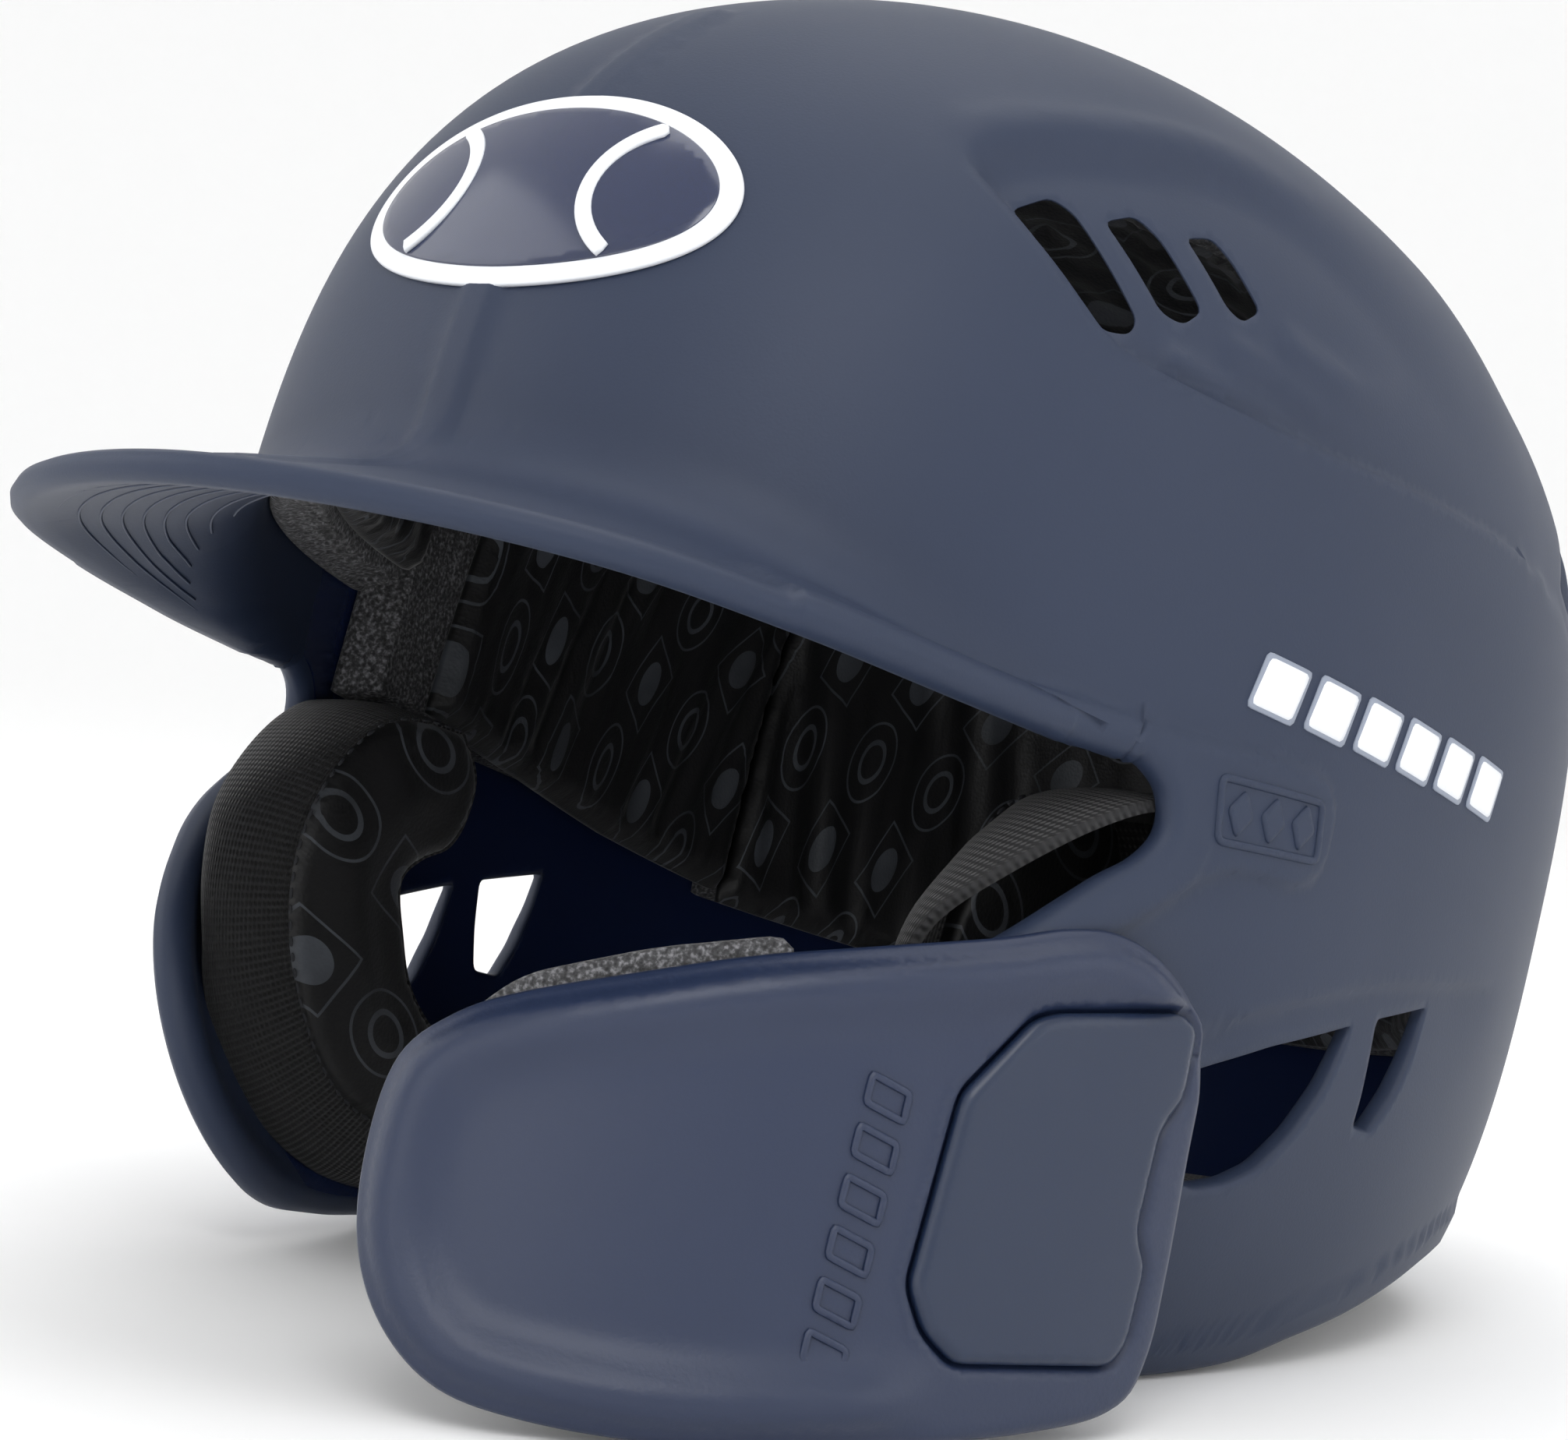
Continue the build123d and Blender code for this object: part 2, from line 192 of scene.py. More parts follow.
def gap_to_line(points: np.ndarray, line: np.ndarray) -> tuple[np.ndarray, np.ndarray]:
    """Distance from points to a line, and which side of it they are on.

    Args:
        points: Rows of two numbers.
        line: Rows along the line.

    Returns:
        The distance, positive to the left of the line's direction, and the share of the way along.
    """
    start, along = line[:-1], np.diff(line, axis=0)
    length = np.maximum((along ** 2).sum(1), 1e-9)
    best = np.full(len(points), np.inf)
    signed = np.zeros(len(points))
    share = np.zeros(len(points))
    for i in range(len(start)):
        rel = points - start[i]
        t = np.clip(rel @ along[i] / length[i], 0.0, 1.0)
        off = rel - t[:, None] * along[i]
        gap = np.hypot(off[:, 0], off[:, 1])
        turn = along[i, 0] * rel[:, 1] - along[i, 1] * rel[:, 0]
        nearer = gap < best
        best[nearer] = gap[nearer]
        signed[nearer] = np.where(turn[nearer] >= 0, gap[nearer], -gap[nearer])
        share[nearer] = (i + t[nearer]) / len(start)
    return signed, share


def beside_line(line: np.ndarray, gap: float, closed: bool = False) -> np.ndarray:
    """A line moved sideways, to the left of its direction.

    Args:
        line: Rows along the line.
        gap: Distance to move; negative moves it right.
        closed: Whether the line returns to its start.

    Returns:
        The moved rows.
    """
    if closed:
        along = np.roll(line, -1, axis=0) - np.roll(line, 1, axis=0)
    else:
        along = np.gradient(line, axis=0)
    return line + gap * unit(np.stack([-along[:, 1], along[:, 0]], 1))


def within(points: np.ndarray, loop: np.ndarray) -> np.ndarray:
    """Finds which points lie inside a closed outline.

    Args:
        points: Rows of two numbers.
        loop: Rows round the outline.

    Returns:
        True for each point inside.
    """
    after = np.roll(loop, -1, axis=0)
    found = np.zeros(len(points), bool)
    for block in range(0, len(points), 6000):
        x, y = points[block:block + 6000].T[:, :, None]
        rises = (loop[:, 1] > y) != (after[:, 1] > y)
        slope = (after[:, 0] - loop[:, 0]) / (after[:, 1] - loop[:, 1] + 1e-12)
        hits = rises & (x < slope * (y - loop[:, 1]) + loop[:, 0])
        found[block:block + 6000] = hits.sum(1) % 2 == 1
    return found


def edge_gap(points: np.ndarray, loop: np.ndarray) -> np.ndarray:
    """Distance from points to a closed outline."""
    return np.abs(gap_to_line(points, np.vstack([loop, loop[:1]]))[0])


def depth_inside(points: np.ndarray, loop: np.ndarray) -> np.ndarray:
    """Distance from points to a closed outline, positive inside it."""
    gap = edge_gap(points, loop)
    return np.where(within(points, loop), gap, -gap)


def drawn_in(outline: np.ndarray, gap: float) -> np.ndarray:
    """Moves a closed outline inwards, whichever way round it runs.

    Args:
        outline: Rows round the outline.
        gap: Distance to move.

    Returns:
        The smaller outline.
    """
    moved = beside_line(outline, gap, closed=True)
    if within(moved[:1], outline)[0]:
        return moved
    return beside_line(outline, -gap, closed=True)


# ---- Sheets: flat outlines cut into triangles -----------------------------------------------
@dataclass
class Sheet:
    """A flat region cut into triangles, finer beside its edges and creases."""

    loops: list
    creases: list = field(default_factory=list)
    coarse: float = 3.0
    fine: float = 1.4
    band: float = 5.0

    def cut(self) -> tuple[np.ndarray, np.ndarray]:
        """Cuts the region into triangles.

        Returns:
            The flat points and the triangles, wound anticlockwise.
        """
        rows, links = [], []
        paths = [(loop, True) for loop in self.loops] + [(line, False) for line in self.creases]
        for path, closed in paths:
            first, count = len(rows), len(path)
            rows.extend(path.tolist())
            last = count if closed else count - 1
            links += [(first + i, first + (i + 1) % count) for i in range(last)]
        tree = KDTree(len(rows))
        for i, row in enumerate(rows):
            tree.insert((row[0], row[1], 0.0), i)
        tree.balance()
        low, high = self.loops[0].min(0), self.loops[0].max(0)
        extra = [self.lattice(low, high, self.coarse, tree, self.band, math.inf)]
        extra.append(self.lattice(low, high, self.fine, tree, 0.7 * self.fine, self.band))
        rows += np.vstack(extra).tolist()
        made = delaunay_2d_cdt([Vector(row) for row in rows], links, [], 0, 1e-4)
        points = np.array([tuple(v) for v in made[0]])
        triangles = np.array([face for face in made[2] if len(face) == 3])
        middle = points[triangles].mean(1)
        keep = within(middle, self.loops[0])
        for hole in self.loops[1:]:
            keep &= ~within(middle, hole)
        triangles = triangles[keep]
        used, back = np.unique(triangles, return_inverse=True)
        return points[used], back.reshape(-1, 3)

    def lattice(self, low: np.ndarray, high: np.ndarray, step: float, tree: KDTree,
                nearest: float, farthest: float) -> np.ndarray:
        """Even points inside the region.

        Args:
            low: Lowest corner of the region.
            high: Highest corner of the region.
            step: Distance between points.
            tree: Points of the edges and creases.
            nearest: Least distance from an edge or crease.
            farthest: Greatest distance from an edge or crease.

        Returns:
            Rows of two numbers.
        """
        across = np.arange(low[0], high[0], step)
        up = np.arange(low[1], high[1], step * ROW_RISE)
        grid = np.stack(np.meshgrid(across, up), -1)
        grid[1::2, :, 0] += step / 2
        flat = grid.reshape(-1, 2)
        flat = flat[within(flat, self.loops[0])]
        gaps = np.array([tree.find((x, y, 0.0))[2] for x, y in flat])
        flat = flat[(gaps > nearest) & (gaps <= farthest)]
        return flat.reshape(-1, 2)


@dataclass
class Skin:
    """A closed mesh in the making: points, faces, the finish of each face, and cloth places."""

    points: np.ndarray
    faces: list
    finish: np.ndarray
    cloth: np.ndarray

    def mirrored(self) -> "Skin":
        """The same skin on the other side."""
        flipped = self.points * np.array([-1.0, 1.0, 1.0])
        return Skin(flipped, [tuple(reversed(face)) for face in self.faces], self.finish, self.cloth)

    def on(self, side: Side) -> "Skin":
        """A skin drawn on the wearer's left, on the side that is wanted."""
        return self if side is Side.LEFT else self.mirrored()

    def joined(self, other: "Skin") -> "Skin":
        """Puts another skin's points and faces after this one's.

        Args:
            other: The skin to add.

        Returns:
            Both as one skin.
        """
        shift = len(self.points)
        faces = self.faces + [tuple(i + shift for i in face) for face in other.faces]
        return Skin(np.vstack([self.points, other.points]), faces,
                    np.concatenate([self.finish, other.finish]), np.vstack([self.cloth, other.cloth]))


def thick_skin(top: np.ndarray, bottom: np.ndarray, triangles: np.ndarray, cloth: np.ndarray,
               fullness: np.ndarray, seam: np.ndarray, rows: int = 4) -> Skin:
    """Joins two copies of a sheet by a rounded edge.

    Args:
        top: Points of the outer face.
        bottom: Points of the inner face.
        triangles: Triangles of both faces.
        cloth: Flat places of the points, in millimetres.
        fullness: How far the edge bulges past each point, as a share of half the thickness.
        seam: Points on a mirror line, where no edge is made.
        rows: Rows of points round the edge.

    Returns:
        The closed skin; the inner face has finish 1.
    """
    count = len(top)
    normal = unit(top - bottom)
    half = np.linalg.norm(top - bottom, axis=1, keepdims=True) / 2
    pairs = np.concatenate([triangles[:, [0, 1]], triangles[:, [1, 2]], triangles[:, [2, 0]]])
    known = set(map(tuple, pairs.tolist()))
    edges = np.array([pair for pair in known if (pair[1], pair[0]) not in known])
    edges = edges[~(seam[edges[:, 0]] & seam[edges[:, 1]])]
    edges = edges[np.lexsort((edges[:, 1], edges[:, 0]))]
    along = unit(top[edges[:, 1]] - top[edges[:, 0]])
    outward = np.cross(along, normal[edges[:, 0]] + normal[edges[:, 1]])
    lean_out = np.zeros_like(top)
    np.add.at(lean_out, edges[:, 0], outward)
    np.add.at(lean_out, edges[:, 1], outward)
    lean_out[seam, 0] = 0.0
    rim = np.unique(edges)
    lean_out = unit(lean_out[rim])
    place = np.full(count, -1)
    place[rim] = np.arange(len(rim))
    points, cloths = [top, bottom], [cloth, cloth]
    for k in range(1, rows + 1):
        turn = math.pi * k / (rows + 1)
        points.append((top[rim] + bottom[rim]) / 2 + half[rim] * (
            math.cos(turn) * normal[rim] + math.sin(turn) * fullness[rim, None] * lean_out))
        cloths.append(cloth[rim])
    faces = [tuple(face) for face in triangles.tolist()]
    faces += [(a + count, c + count, b + count) for a, b, c in triangles.tolist()]
    finish = [0] * len(triangles) + [1] * len(triangles)

    def edge_point(i: int, k: int) -> int:
        """Index of point i in row k round the edge."""
        if k == 0:
            return i
        return i + count if k > rows else 2 * count + (k - 1) * len(rim) + int(place[i])

    for a, b in edges.tolist():
        for k in range(rows + 1):
            faces.append((edge_point(b, k), edge_point(a, k), edge_point(a, k + 1), edge_point(b, k + 1)))
            finish.append(0)
    return Skin(np.vstack(points), faces, np.array(finish), np.vstack(cloths))


def even_skin(top: np.ndarray, bottom: np.ndarray, triangles: np.ndarray, cloth: np.ndarray,
              fullness: float, rows: int = 4) -> Skin:
    """Joins two copies of a sheet by an edge that is equally full all round.

    Args:
        top: Points of the outer face.
        bottom: Points of the inner face.
        triangles: Triangles of both faces.
        cloth: Flat places of the points, in millimetres.
        fullness: How far the edge bulges, as a share of half the thickness.
        rows: Rows of points round the edge.

    Returns:
        The closed skin.
    """
    count = len(top)
    return thick_skin(top, bottom, triangles, cloth, np.full(count, fullness), np.zeros(count, bool), rows)


def weld_mirror(skin: Skin) -> Skin:
    """Adds a skin's mirror image and welds the two along the middle plane.

    Args:
        skin: Half a skin, whose open side lies in the middle plane.

    Returns:
        The whole skin.
    """
    other = skin.mirrored()
    both = skin.joined(other)
    count = len(skin.points)
    middle = np.abs(skin.points[:, 0]) < 1e-5
    target = np.arange(2 * count)
    target[count:][middle] = np.arange(count)[middle]
    faces = [tuple(int(target[i]) for i in face) for face in both.faces]
    used = np.unique(np.concatenate([np.array(face) for face in faces]))
    fresh = np.full(2 * count, -1)
    fresh[used] = np.arange(len(used))
    faces = [tuple(int(fresh[i]) for i in face) for face in faces]
    return Skin(both.points[used], faces, both.finish, both.cloth[used])


def put(name: str, data: bpy.types.ID) -> bpy.types.Object:
    """Adds an object with this name and data to the scene."""
    item = bpy.data.objects.new(name, data)
    bpy.context.scene.collection.objects.link(item)
    return item


def make_piece(name: str, skin: Skin, materials: list, body: str) -> bpy.types.Object:
    """Makes the Blender piece for a skin and puts it on its body.

    Args:
        name: The piece's name.
        skin: The closed skin, level, in millimetres.
        materials: Finishes in the order of the skin's finish numbers.
        body: The body that it rides on.

    Returns:
        The new piece.
    """
    mesh = bpy.data.meshes.new(name)
    mesh.from_pydata(to_frame(skin.points).tolist(), [], skin.faces)
    mesh.validate()
    for material in materials:
        mesh.materials.append(material)
    if len(mesh.polygons) == len(skin.finish):
        mesh.polygons.foreach_set("material_index", skin.finish.astype(np.int32))
    mesh.polygons.foreach_set("use_smooth", np.ones(len(mesh.polygons), bool))
    corners = np.zeros(len(mesh.loops), np.int32)
    mesh.loops.foreach_get("vertex_index", corners)
    layer = mesh.uv_layers.new(name="cloth")
    layer.data.foreach_set("uv", (skin.cloth[corners] / CLOTH_UNIT).astype(np.float32).ravel())
    piece = put(name, mesh)
    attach(piece, body)
    log.info("%s: %d faces", name, len(mesh.polygons))
    return piece


# ---- Finishes ------------------------------------------------------------------------------
def colour(code: str) -> tuple[float, float, float, float]:
    """Turns an sRGB hex colour into Blender's linear colour.

    Args:
        code: Colour such as "#20304A".

    Returns:
        Linear red, green, blue and alpha.
    """
    parts = [int(code[i:i + 2], 16) / 255 for i in (1, 3, 5)]
    linear = [p / 12.92 if p <= 0.04045 else ((p + 0.055) / 1.055) ** 2.4 for p in parts]
    return (*linear, 1.0)


def add(tree: bpy.types.NodeTree, kind: str, links: dict | None = None,
        **settings: object) -> bpy.types.Node:
    """Adds a node, sets it up and links it.

    Args:
        tree: The node tree.
        kind: The node's type name.
        links: Input name or number to a value, a colour or another node's output.
        **settings: Properties of the node.

    Returns:
        The new node.
    """
    node = tree.nodes.new(kind)
    for key, value in settings.items():
        setattr(node, key, value)
    for key, value in (links or {}).items():
        socket = node.inputs[key]
        if isinstance(value, bpy.types.NodeSocket):
            tree.links.new(value, socket)
        else:
            socket.default_value = value
    return node


def blank_material(name: str) -> tuple[bpy.types.Material, bpy.types.NodeTree, bpy.types.Node]:
    """Makes a material with nothing but its shader set up.

    Args:
        name: The material's name.

    Returns:
        The material, its node tree and its shader.
    """
    material = bpy.data.materials.new(name)
    material.use_nodes = True
    return material, material.node_tree, material.node_tree.nodes["Principled BSDF"]


@dataclass(frozen=True)
class Moulded:
    """Moulded plastic: one colour, clouded a little, with a fine grain."""

    name: str
    base: str
    shade: str
    roughness: float = 0.5
    coat: float = 0.0
    grain_mm: float = 0.5
    grain: float = 0.12
    specular: float = 0.5
    clouds: float = 18.0             # clouds of tint and gloss to a metre
    wear: float = 0.04               # how far the gloss strays either way

    def build(self) -> bpy.types.Material:
        """Builds the material."""
        material, tree, shader = blank_material(self.name)
        place = add(tree, "ShaderNodeTexCoord").outputs["Object"]
        cloud = add(tree, "ShaderNodeTexNoise", {"Vector": place, "Scale": self.clouds, "Detail": 3.0})
        tint = add(tree, "ShaderNodeMix", {0: cloud.outputs["Fac"], 6: colour(self.base),
                                           7: colour(self.shade)}, data_type="RGBA")
        tree.links.new(tint.outputs[2], shader.inputs["Base Color"])
        grain = add(tree, "ShaderNodeTexNoise", {"Vector": place, "Scale": 1000.0 / self.grain_mm,
                                                 "Detail": 2.0})
        bump = add(tree, "ShaderNodeBump", {"Strength": self.grain, "Distance": 0.0002,
                                            "Height": grain.outputs["Fac"]})
        tree.links.new(bump.outputs[0], shader.inputs["Normal"])
        wear = add(tree, "ShaderNodeMapRange", {"Value": cloud.outputs["Fac"],
                                                "To Min": self.roughness - self.wear,
                                                "To Max": self.roughness + self.wear})
        tree.links.new(wear.outputs[0], shader.inputs["Roughness"])
        shader.inputs["Coat Weight"].default_value = self.coat
        shader.inputs["Coat Roughness"].default_value = 0.08
        shader.inputs["Specular IOR Level"].default_value = self.specular
        return material


@dataclass(frozen=True)
class Foam:
    """Grey cellular foam, dark pores and light specks."""

    name: str
    base: str = "#454547"
    pore: str = "#262628"
    speck: str = "#8C8C90"
    cell_mm: float = 1.1
    specks: float = 1300.0           # cells of speckle noise to a metre

    def build(self) -> bpy.types.Material:
        """Builds the material."""
        material, tree, shader = blank_material(self.name)
        place = add(tree, "ShaderNodeTexCoord").outputs["Object"]
        cells = add(tree, "ShaderNodeTexVoronoi", {"Vector": place, "Scale": 1000.0 / self.cell_mm})
        cloud = add(tree, "ShaderNodeTexNoise", {"Vector": place, "Scale": self.specks, "Detail": 4.0})
        blend = add(tree, "ShaderNodeValToRGB", {"Fac": cloud.outputs["Fac"]})
        blend.color_ramp.elements[0].position = 0.34
        blend.color_ramp.elements[0].color = colour(self.pore)
        blend.color_ramp.elements[1].position = 0.72
        blend.color_ramp.elements[1].color = colour(self.speck)
        middle = blend.color_ramp.elements.new(0.5)
        middle.color = colour(self.base)
        tree.links.new(blend.outputs["Color"], shader.inputs["Base Color"])
        bump = add(tree, "ShaderNodeBump", {"Strength": 0.7, "Distance": 0.0004,
                                            "Height": cells.outputs["Distance"]})
        tree.links.new(bump.outputs[0], shader.inputs["Normal"])
        shader.inputs["Roughness"].default_value = 0.85
        shader.inputs["Sheen Weight"].default_value = 0.1
        return material


@dataclass(frozen=True)
class PrintedCloth:
    """Black stretch cloth printed with outlined ovals and rounded boxes in grey."""

    name: str
    base: str = "#0B0B0D"
    ink: str = "#62676F"
    repeat_mm: float = 23.0
    turn: float = 0.35               # the print's turn on the cloth, in radians
    oval: tuple = (0.42, 0.3)        # half sizes of the marks, as shares of the repeat
    box: tuple = (0.36, 0.27)
    marks: tuple = (("oval_line", "oval_reach", 1.0, 0.035), ("oval_ring", "oval_reach", 0.5, 0.07),
                    ("box_line", "box_reach", 1.0, 0.035), ("box_dot", "oval_reach", 0.25, 0.3))

    def steps(self) -> list:
        """The print as sums: a mark is where a reach is near its level.

        Returns:
            Rows of a result's name, its operation and its two values, by name or number.
        """
        steps = [("row", "FLOOR", "v", 0.0), ("half_row", "MULTIPLY", "row", 0.5),
                 ("shifted", "ADD", "u", "half_row"), ("column", "FLOOR", "shifted", 0.0),
                 ("part_across", "FRACT", "shifted", 0.0), ("across", "SUBTRACT", "part_across", 0.5),
                 ("part_up", "FRACT", "v", 0.0), ("up", "SUBTRACT", "part_up", 0.5),
                 ("tile", "ADD", "row", "column"), ("odd", "FLOORED_MODULO", "tile", 2.0),
                 ("even", "SUBTRACT", 1.0, "odd")]
        for shape, (wide, high) in (("oval", self.oval), ("box", self.box)):
            steps += [(f"{shape}_share_x", "DIVIDE", "across", wide),
                      (f"{shape}_x", "ABSOLUTE", f"{shape}_share_x", 0.0),
                      (f"{shape}_share_y", "DIVIDE", "up", high),
                      (f"{shape}_y", "ABSOLUTE", f"{shape}_share_y", 0.0)]
        steps += [("oval_xx", "POWER", "oval_x", 2.0), ("oval_yy", "POWER", "oval_y", 2.0),
                  ("oval_sum", "ADD", "oval_xx", "oval_yy"), ("oval_reach", "SQRT", "oval_sum", 0.0),
                  ("box_reach", "MAXIMUM", "box_x", "box_y")]
        for mark, reach, level, width in self.marks:
            steps += [(f"{mark}_off", "SUBTRACT", reach, level),
                      (f"{mark}_gap", "ABSOLUTE", f"{mark}_off", 0.0),
                      (mark, "LESS_THAN", f"{mark}_gap", width)]
        return steps + [("ovals", "MAXIMUM", "oval_line", "oval_ring"),
                        ("boxes", "MAXIMUM", "box_line", "box_dot"),
                        ("odd_ink", "MULTIPLY", "ovals", "odd"), ("even_ink", "MULTIPLY", "boxes", "even"),
                        ("ink", "ADD", "odd_ink", "even_ink"), ("worn", "MULTIPLY", "fade", 1.1),
                        ("strength", "MULTIPLY", "ink", "worn")]

    def build(self) -> bpy.types.Material:
        """Builds the material."""
        material, tree, shader = blank_material(self.name)
        flat = add(tree, "ShaderNodeUVMap", uv_map="cloth").outputs["UV"]
        turned = add(tree, "ShaderNodeMapping", {"Vector": flat, "Rotation": (0.0, 0.0, self.turn),
                                                 "Scale": (CLOTH_UNIT / self.repeat_mm,) * 3})
        parts = add(tree, "ShaderNodeSeparateXYZ", {0: turned.outputs[0]})
        place = add(tree, "ShaderNodeTexCoord").outputs["Object"]
        fade = add(tree, "ShaderNodeTexNoise", {"Vector": place, "Scale": 60.0, "Detail": 3.0})
        known = {"u": parts.outputs[0], "v": parts.outputs[1], "fade": fade.outputs["Fac"]}
        for name, operation, a, b in self.steps():
            node = add(tree, "ShaderNodeMath", {0: known.get(a, a), 1: known.get(b, b)}, operation=operation)
            known[name] = node.outputs[0]
        tint = add(tree, "ShaderNodeMix", {0: known["strength"], 6: colour(self.base),
                                           7: colour(self.ink)}, data_type="RGBA")
        tree.links.new(tint.outputs[2], shader.inputs["Base Color"])
        knit = add(tree, "ShaderNodeTexVoronoi", {"Vector": flat, "Scale": 140.0})
        bump = add(tree, "ShaderNodeBump", {"Strength": 0.25, "Distance": 0.0002,
                                            "Height": knit.outputs["Distance"]})
        tree.links.new(bump.outputs[0], shader.inputs["Normal"])
        shader.inputs["Roughness"].default_value = 0.5
        shader.inputs["Sheen Weight"].default_value = 0.25
        shader.inputs["Sheen Roughness"].default_value = 0.4
        return material


@dataclass(frozen=True)
class RibKnit:
    """Black ribbed elastic band, with a painted highlight on each rib top."""

    name: str
    base: str = "#0B0B0D"
    # Painted highlight colour for the rib tops; the grooves keep the black base.
    light: str = "#1B1B1E"
    rib_mm: float = 1.5
    stitch_rate: float = 1.6         # stitches along a rib for each rib across

    def build(self) -> bpy.types.Material:
        """Builds the material."""
        material, tree, shader = blank_material(self.name)
        flat = add(tree, "ShaderNodeUVMap", uv_map="cloth").outputs["UV"]
        parts = add(tree, "ShaderNodeSeparateXYZ", {0: flat})
        turn = 2 * math.pi * CLOTH_UNIT / self.rib_mm
        known = {"u": parts.outputs[0], "v": parts.outputs[1]}
        steps = (("run", "MULTIPLY", "v", turn * self.stitch_rate), ("sway", "SINE", "run", 0.0),
                 ("stitch", "MULTIPLY", "sway", 0.25), ("across", "MULTIPLY", "u", turn),
                 ("swayed", "ADD", "across", "stitch"), ("ribs", "SINE", "swayed", 0.0),
                 ("half_ribs", "MULTIPLY", "ribs", 0.5), ("height", "ADD", "half_ribs", "stitch"))
        for name, operation, a, b in steps:
            node = add(tree, "ShaderNodeMath", {0: known.get(a, a), 1: known.get(b, b)}, operation=operation)
            known[name] = node.outputs[0]
        height = known["height"]
        # Painted light: the colour follows the rib height, so the rib tops are painted lighter and the
        # grooves stay dark as painted shade.
        tint = add(tree, "ShaderNodeMapRange", {"Value": height, "From Min": -0.7, "From Max": 0.9})
        blend = add(tree, "ShaderNodeValToRGB", {"Fac": tint.outputs[0]})
        blend.color_ramp.elements[0].color = colour(self.base)
        blend.color_ramp.elements[1].color = colour(self.light)
        tree.links.new(blend.outputs["Color"], shader.inputs["Base Color"])
        bump = add(tree, "ShaderNodeBump", {"Strength": 0.8, "Distance": 0.0004, "Height": height})
        tree.links.new(bump.outputs[0], shader.inputs["Normal"])
        shader.inputs["Roughness"].default_value = 0.75
        shader.inputs["Sheen Weight"].default_value = 0.15
        return material


@dataclass(frozen=True)
class Steel:
    """Bright steel, turned or rolled."""

    name: str
    base: str = "#B9BCC2"
    roughness: float = 0.28

    def build(self) -> bpy.types.Material:
        """Builds the material."""
        material, tree, shader = blank_material(self.name)
        place = add(tree, "ShaderNodeTexCoord").outputs["Object"]
        lines = add(tree, "ShaderNodeTexNoise", {"Vector": place, "Scale": 1800.0, "Detail": 2.0})
        bump = add(tree, "ShaderNodeBump", {"Strength": 0.08, "Distance": 0.0001,
                                            "Height": lines.outputs["Fac"]})
        tree.links.new(bump.outputs[0], shader.inputs["Normal"])
        shader.inputs["Base Color"].default_value = colour(self.base)
        shader.inputs["Metallic"].default_value = 1.0
        shader.inputs["Roughness"].default_value = self.roughness
        return material


class Finishes:
    """Every finish of the helmet, each built once."""

    def __init__(self) -> None:
        """Builds the materials."""
        # Soft-touch matt navy paint over moulded ABS: a broad, dull sheen.
        self.shell = Moulded("matt_navy_shell", "#273147", "#252F44", 0.52, specular=0.35).build()
        # Bare moulded navy ABS inside the shell: clearer glints than the paint gives.
        self.lining = Moulded("gloss_navy_inside", "#1B294E", "#182546", 0.24, grain=0.05).build()
        # Moulded polypropylene of the jaw guard, grained, and its smoother cover.
        self.guard = Moulded("navy_guard", "#1F2B46", "#1D2842", 0.4, grain_mm=0.7, grain=0.2).build()
        self.cover = Moulded("navy_cover", "#1B2841", "#19263E", 0.33, grain=0.05).build()
        # Cut EVA impact foam: dark pores and light specks.
        self.foam = Foam("grey_foam").build()
        # Printed stretch polyester over the pads, and ribbed elastic round the ear pads with painted
        # highlights on its rib tops.
        self.cloth = PrintedCloth("printed_cloth").build()
        self.knit = RibKnit("rib_knit").build()
        # Glossy moulded badge, and satin film for the white and grey marks.
        self.badge = Moulded("gloss_navy_badge", "#0F1D3E", "#12224A", 0.17, grain=0.0,
                             specular=0.9).build()
        self.white = Moulded("white_print", "#EEF0F4", "#E9ECF1", 0.35, grain=0.03).build()
        self.grey = Moulded("grey_print", "#8E96A6", "#8A92A2", 0.4, grain=0.03).build()
        # Dark polyester sewing thread.
        self.thread = Moulded("polyester_thread", "#26272B", "#2E2F34", 0.6, grain=0.3).build()
        # Turned brass inserts, stainless screws and washers, and rubber grommets.
        self.insert = Steel("brass", "#C9A45C", 0.3).build()
        self.screw = Steel("stainless", "#B9BCC2", 0.25).build()
        self.rubber = Moulded("black_rubber", "#141416", "#18181A", 0.7).build()


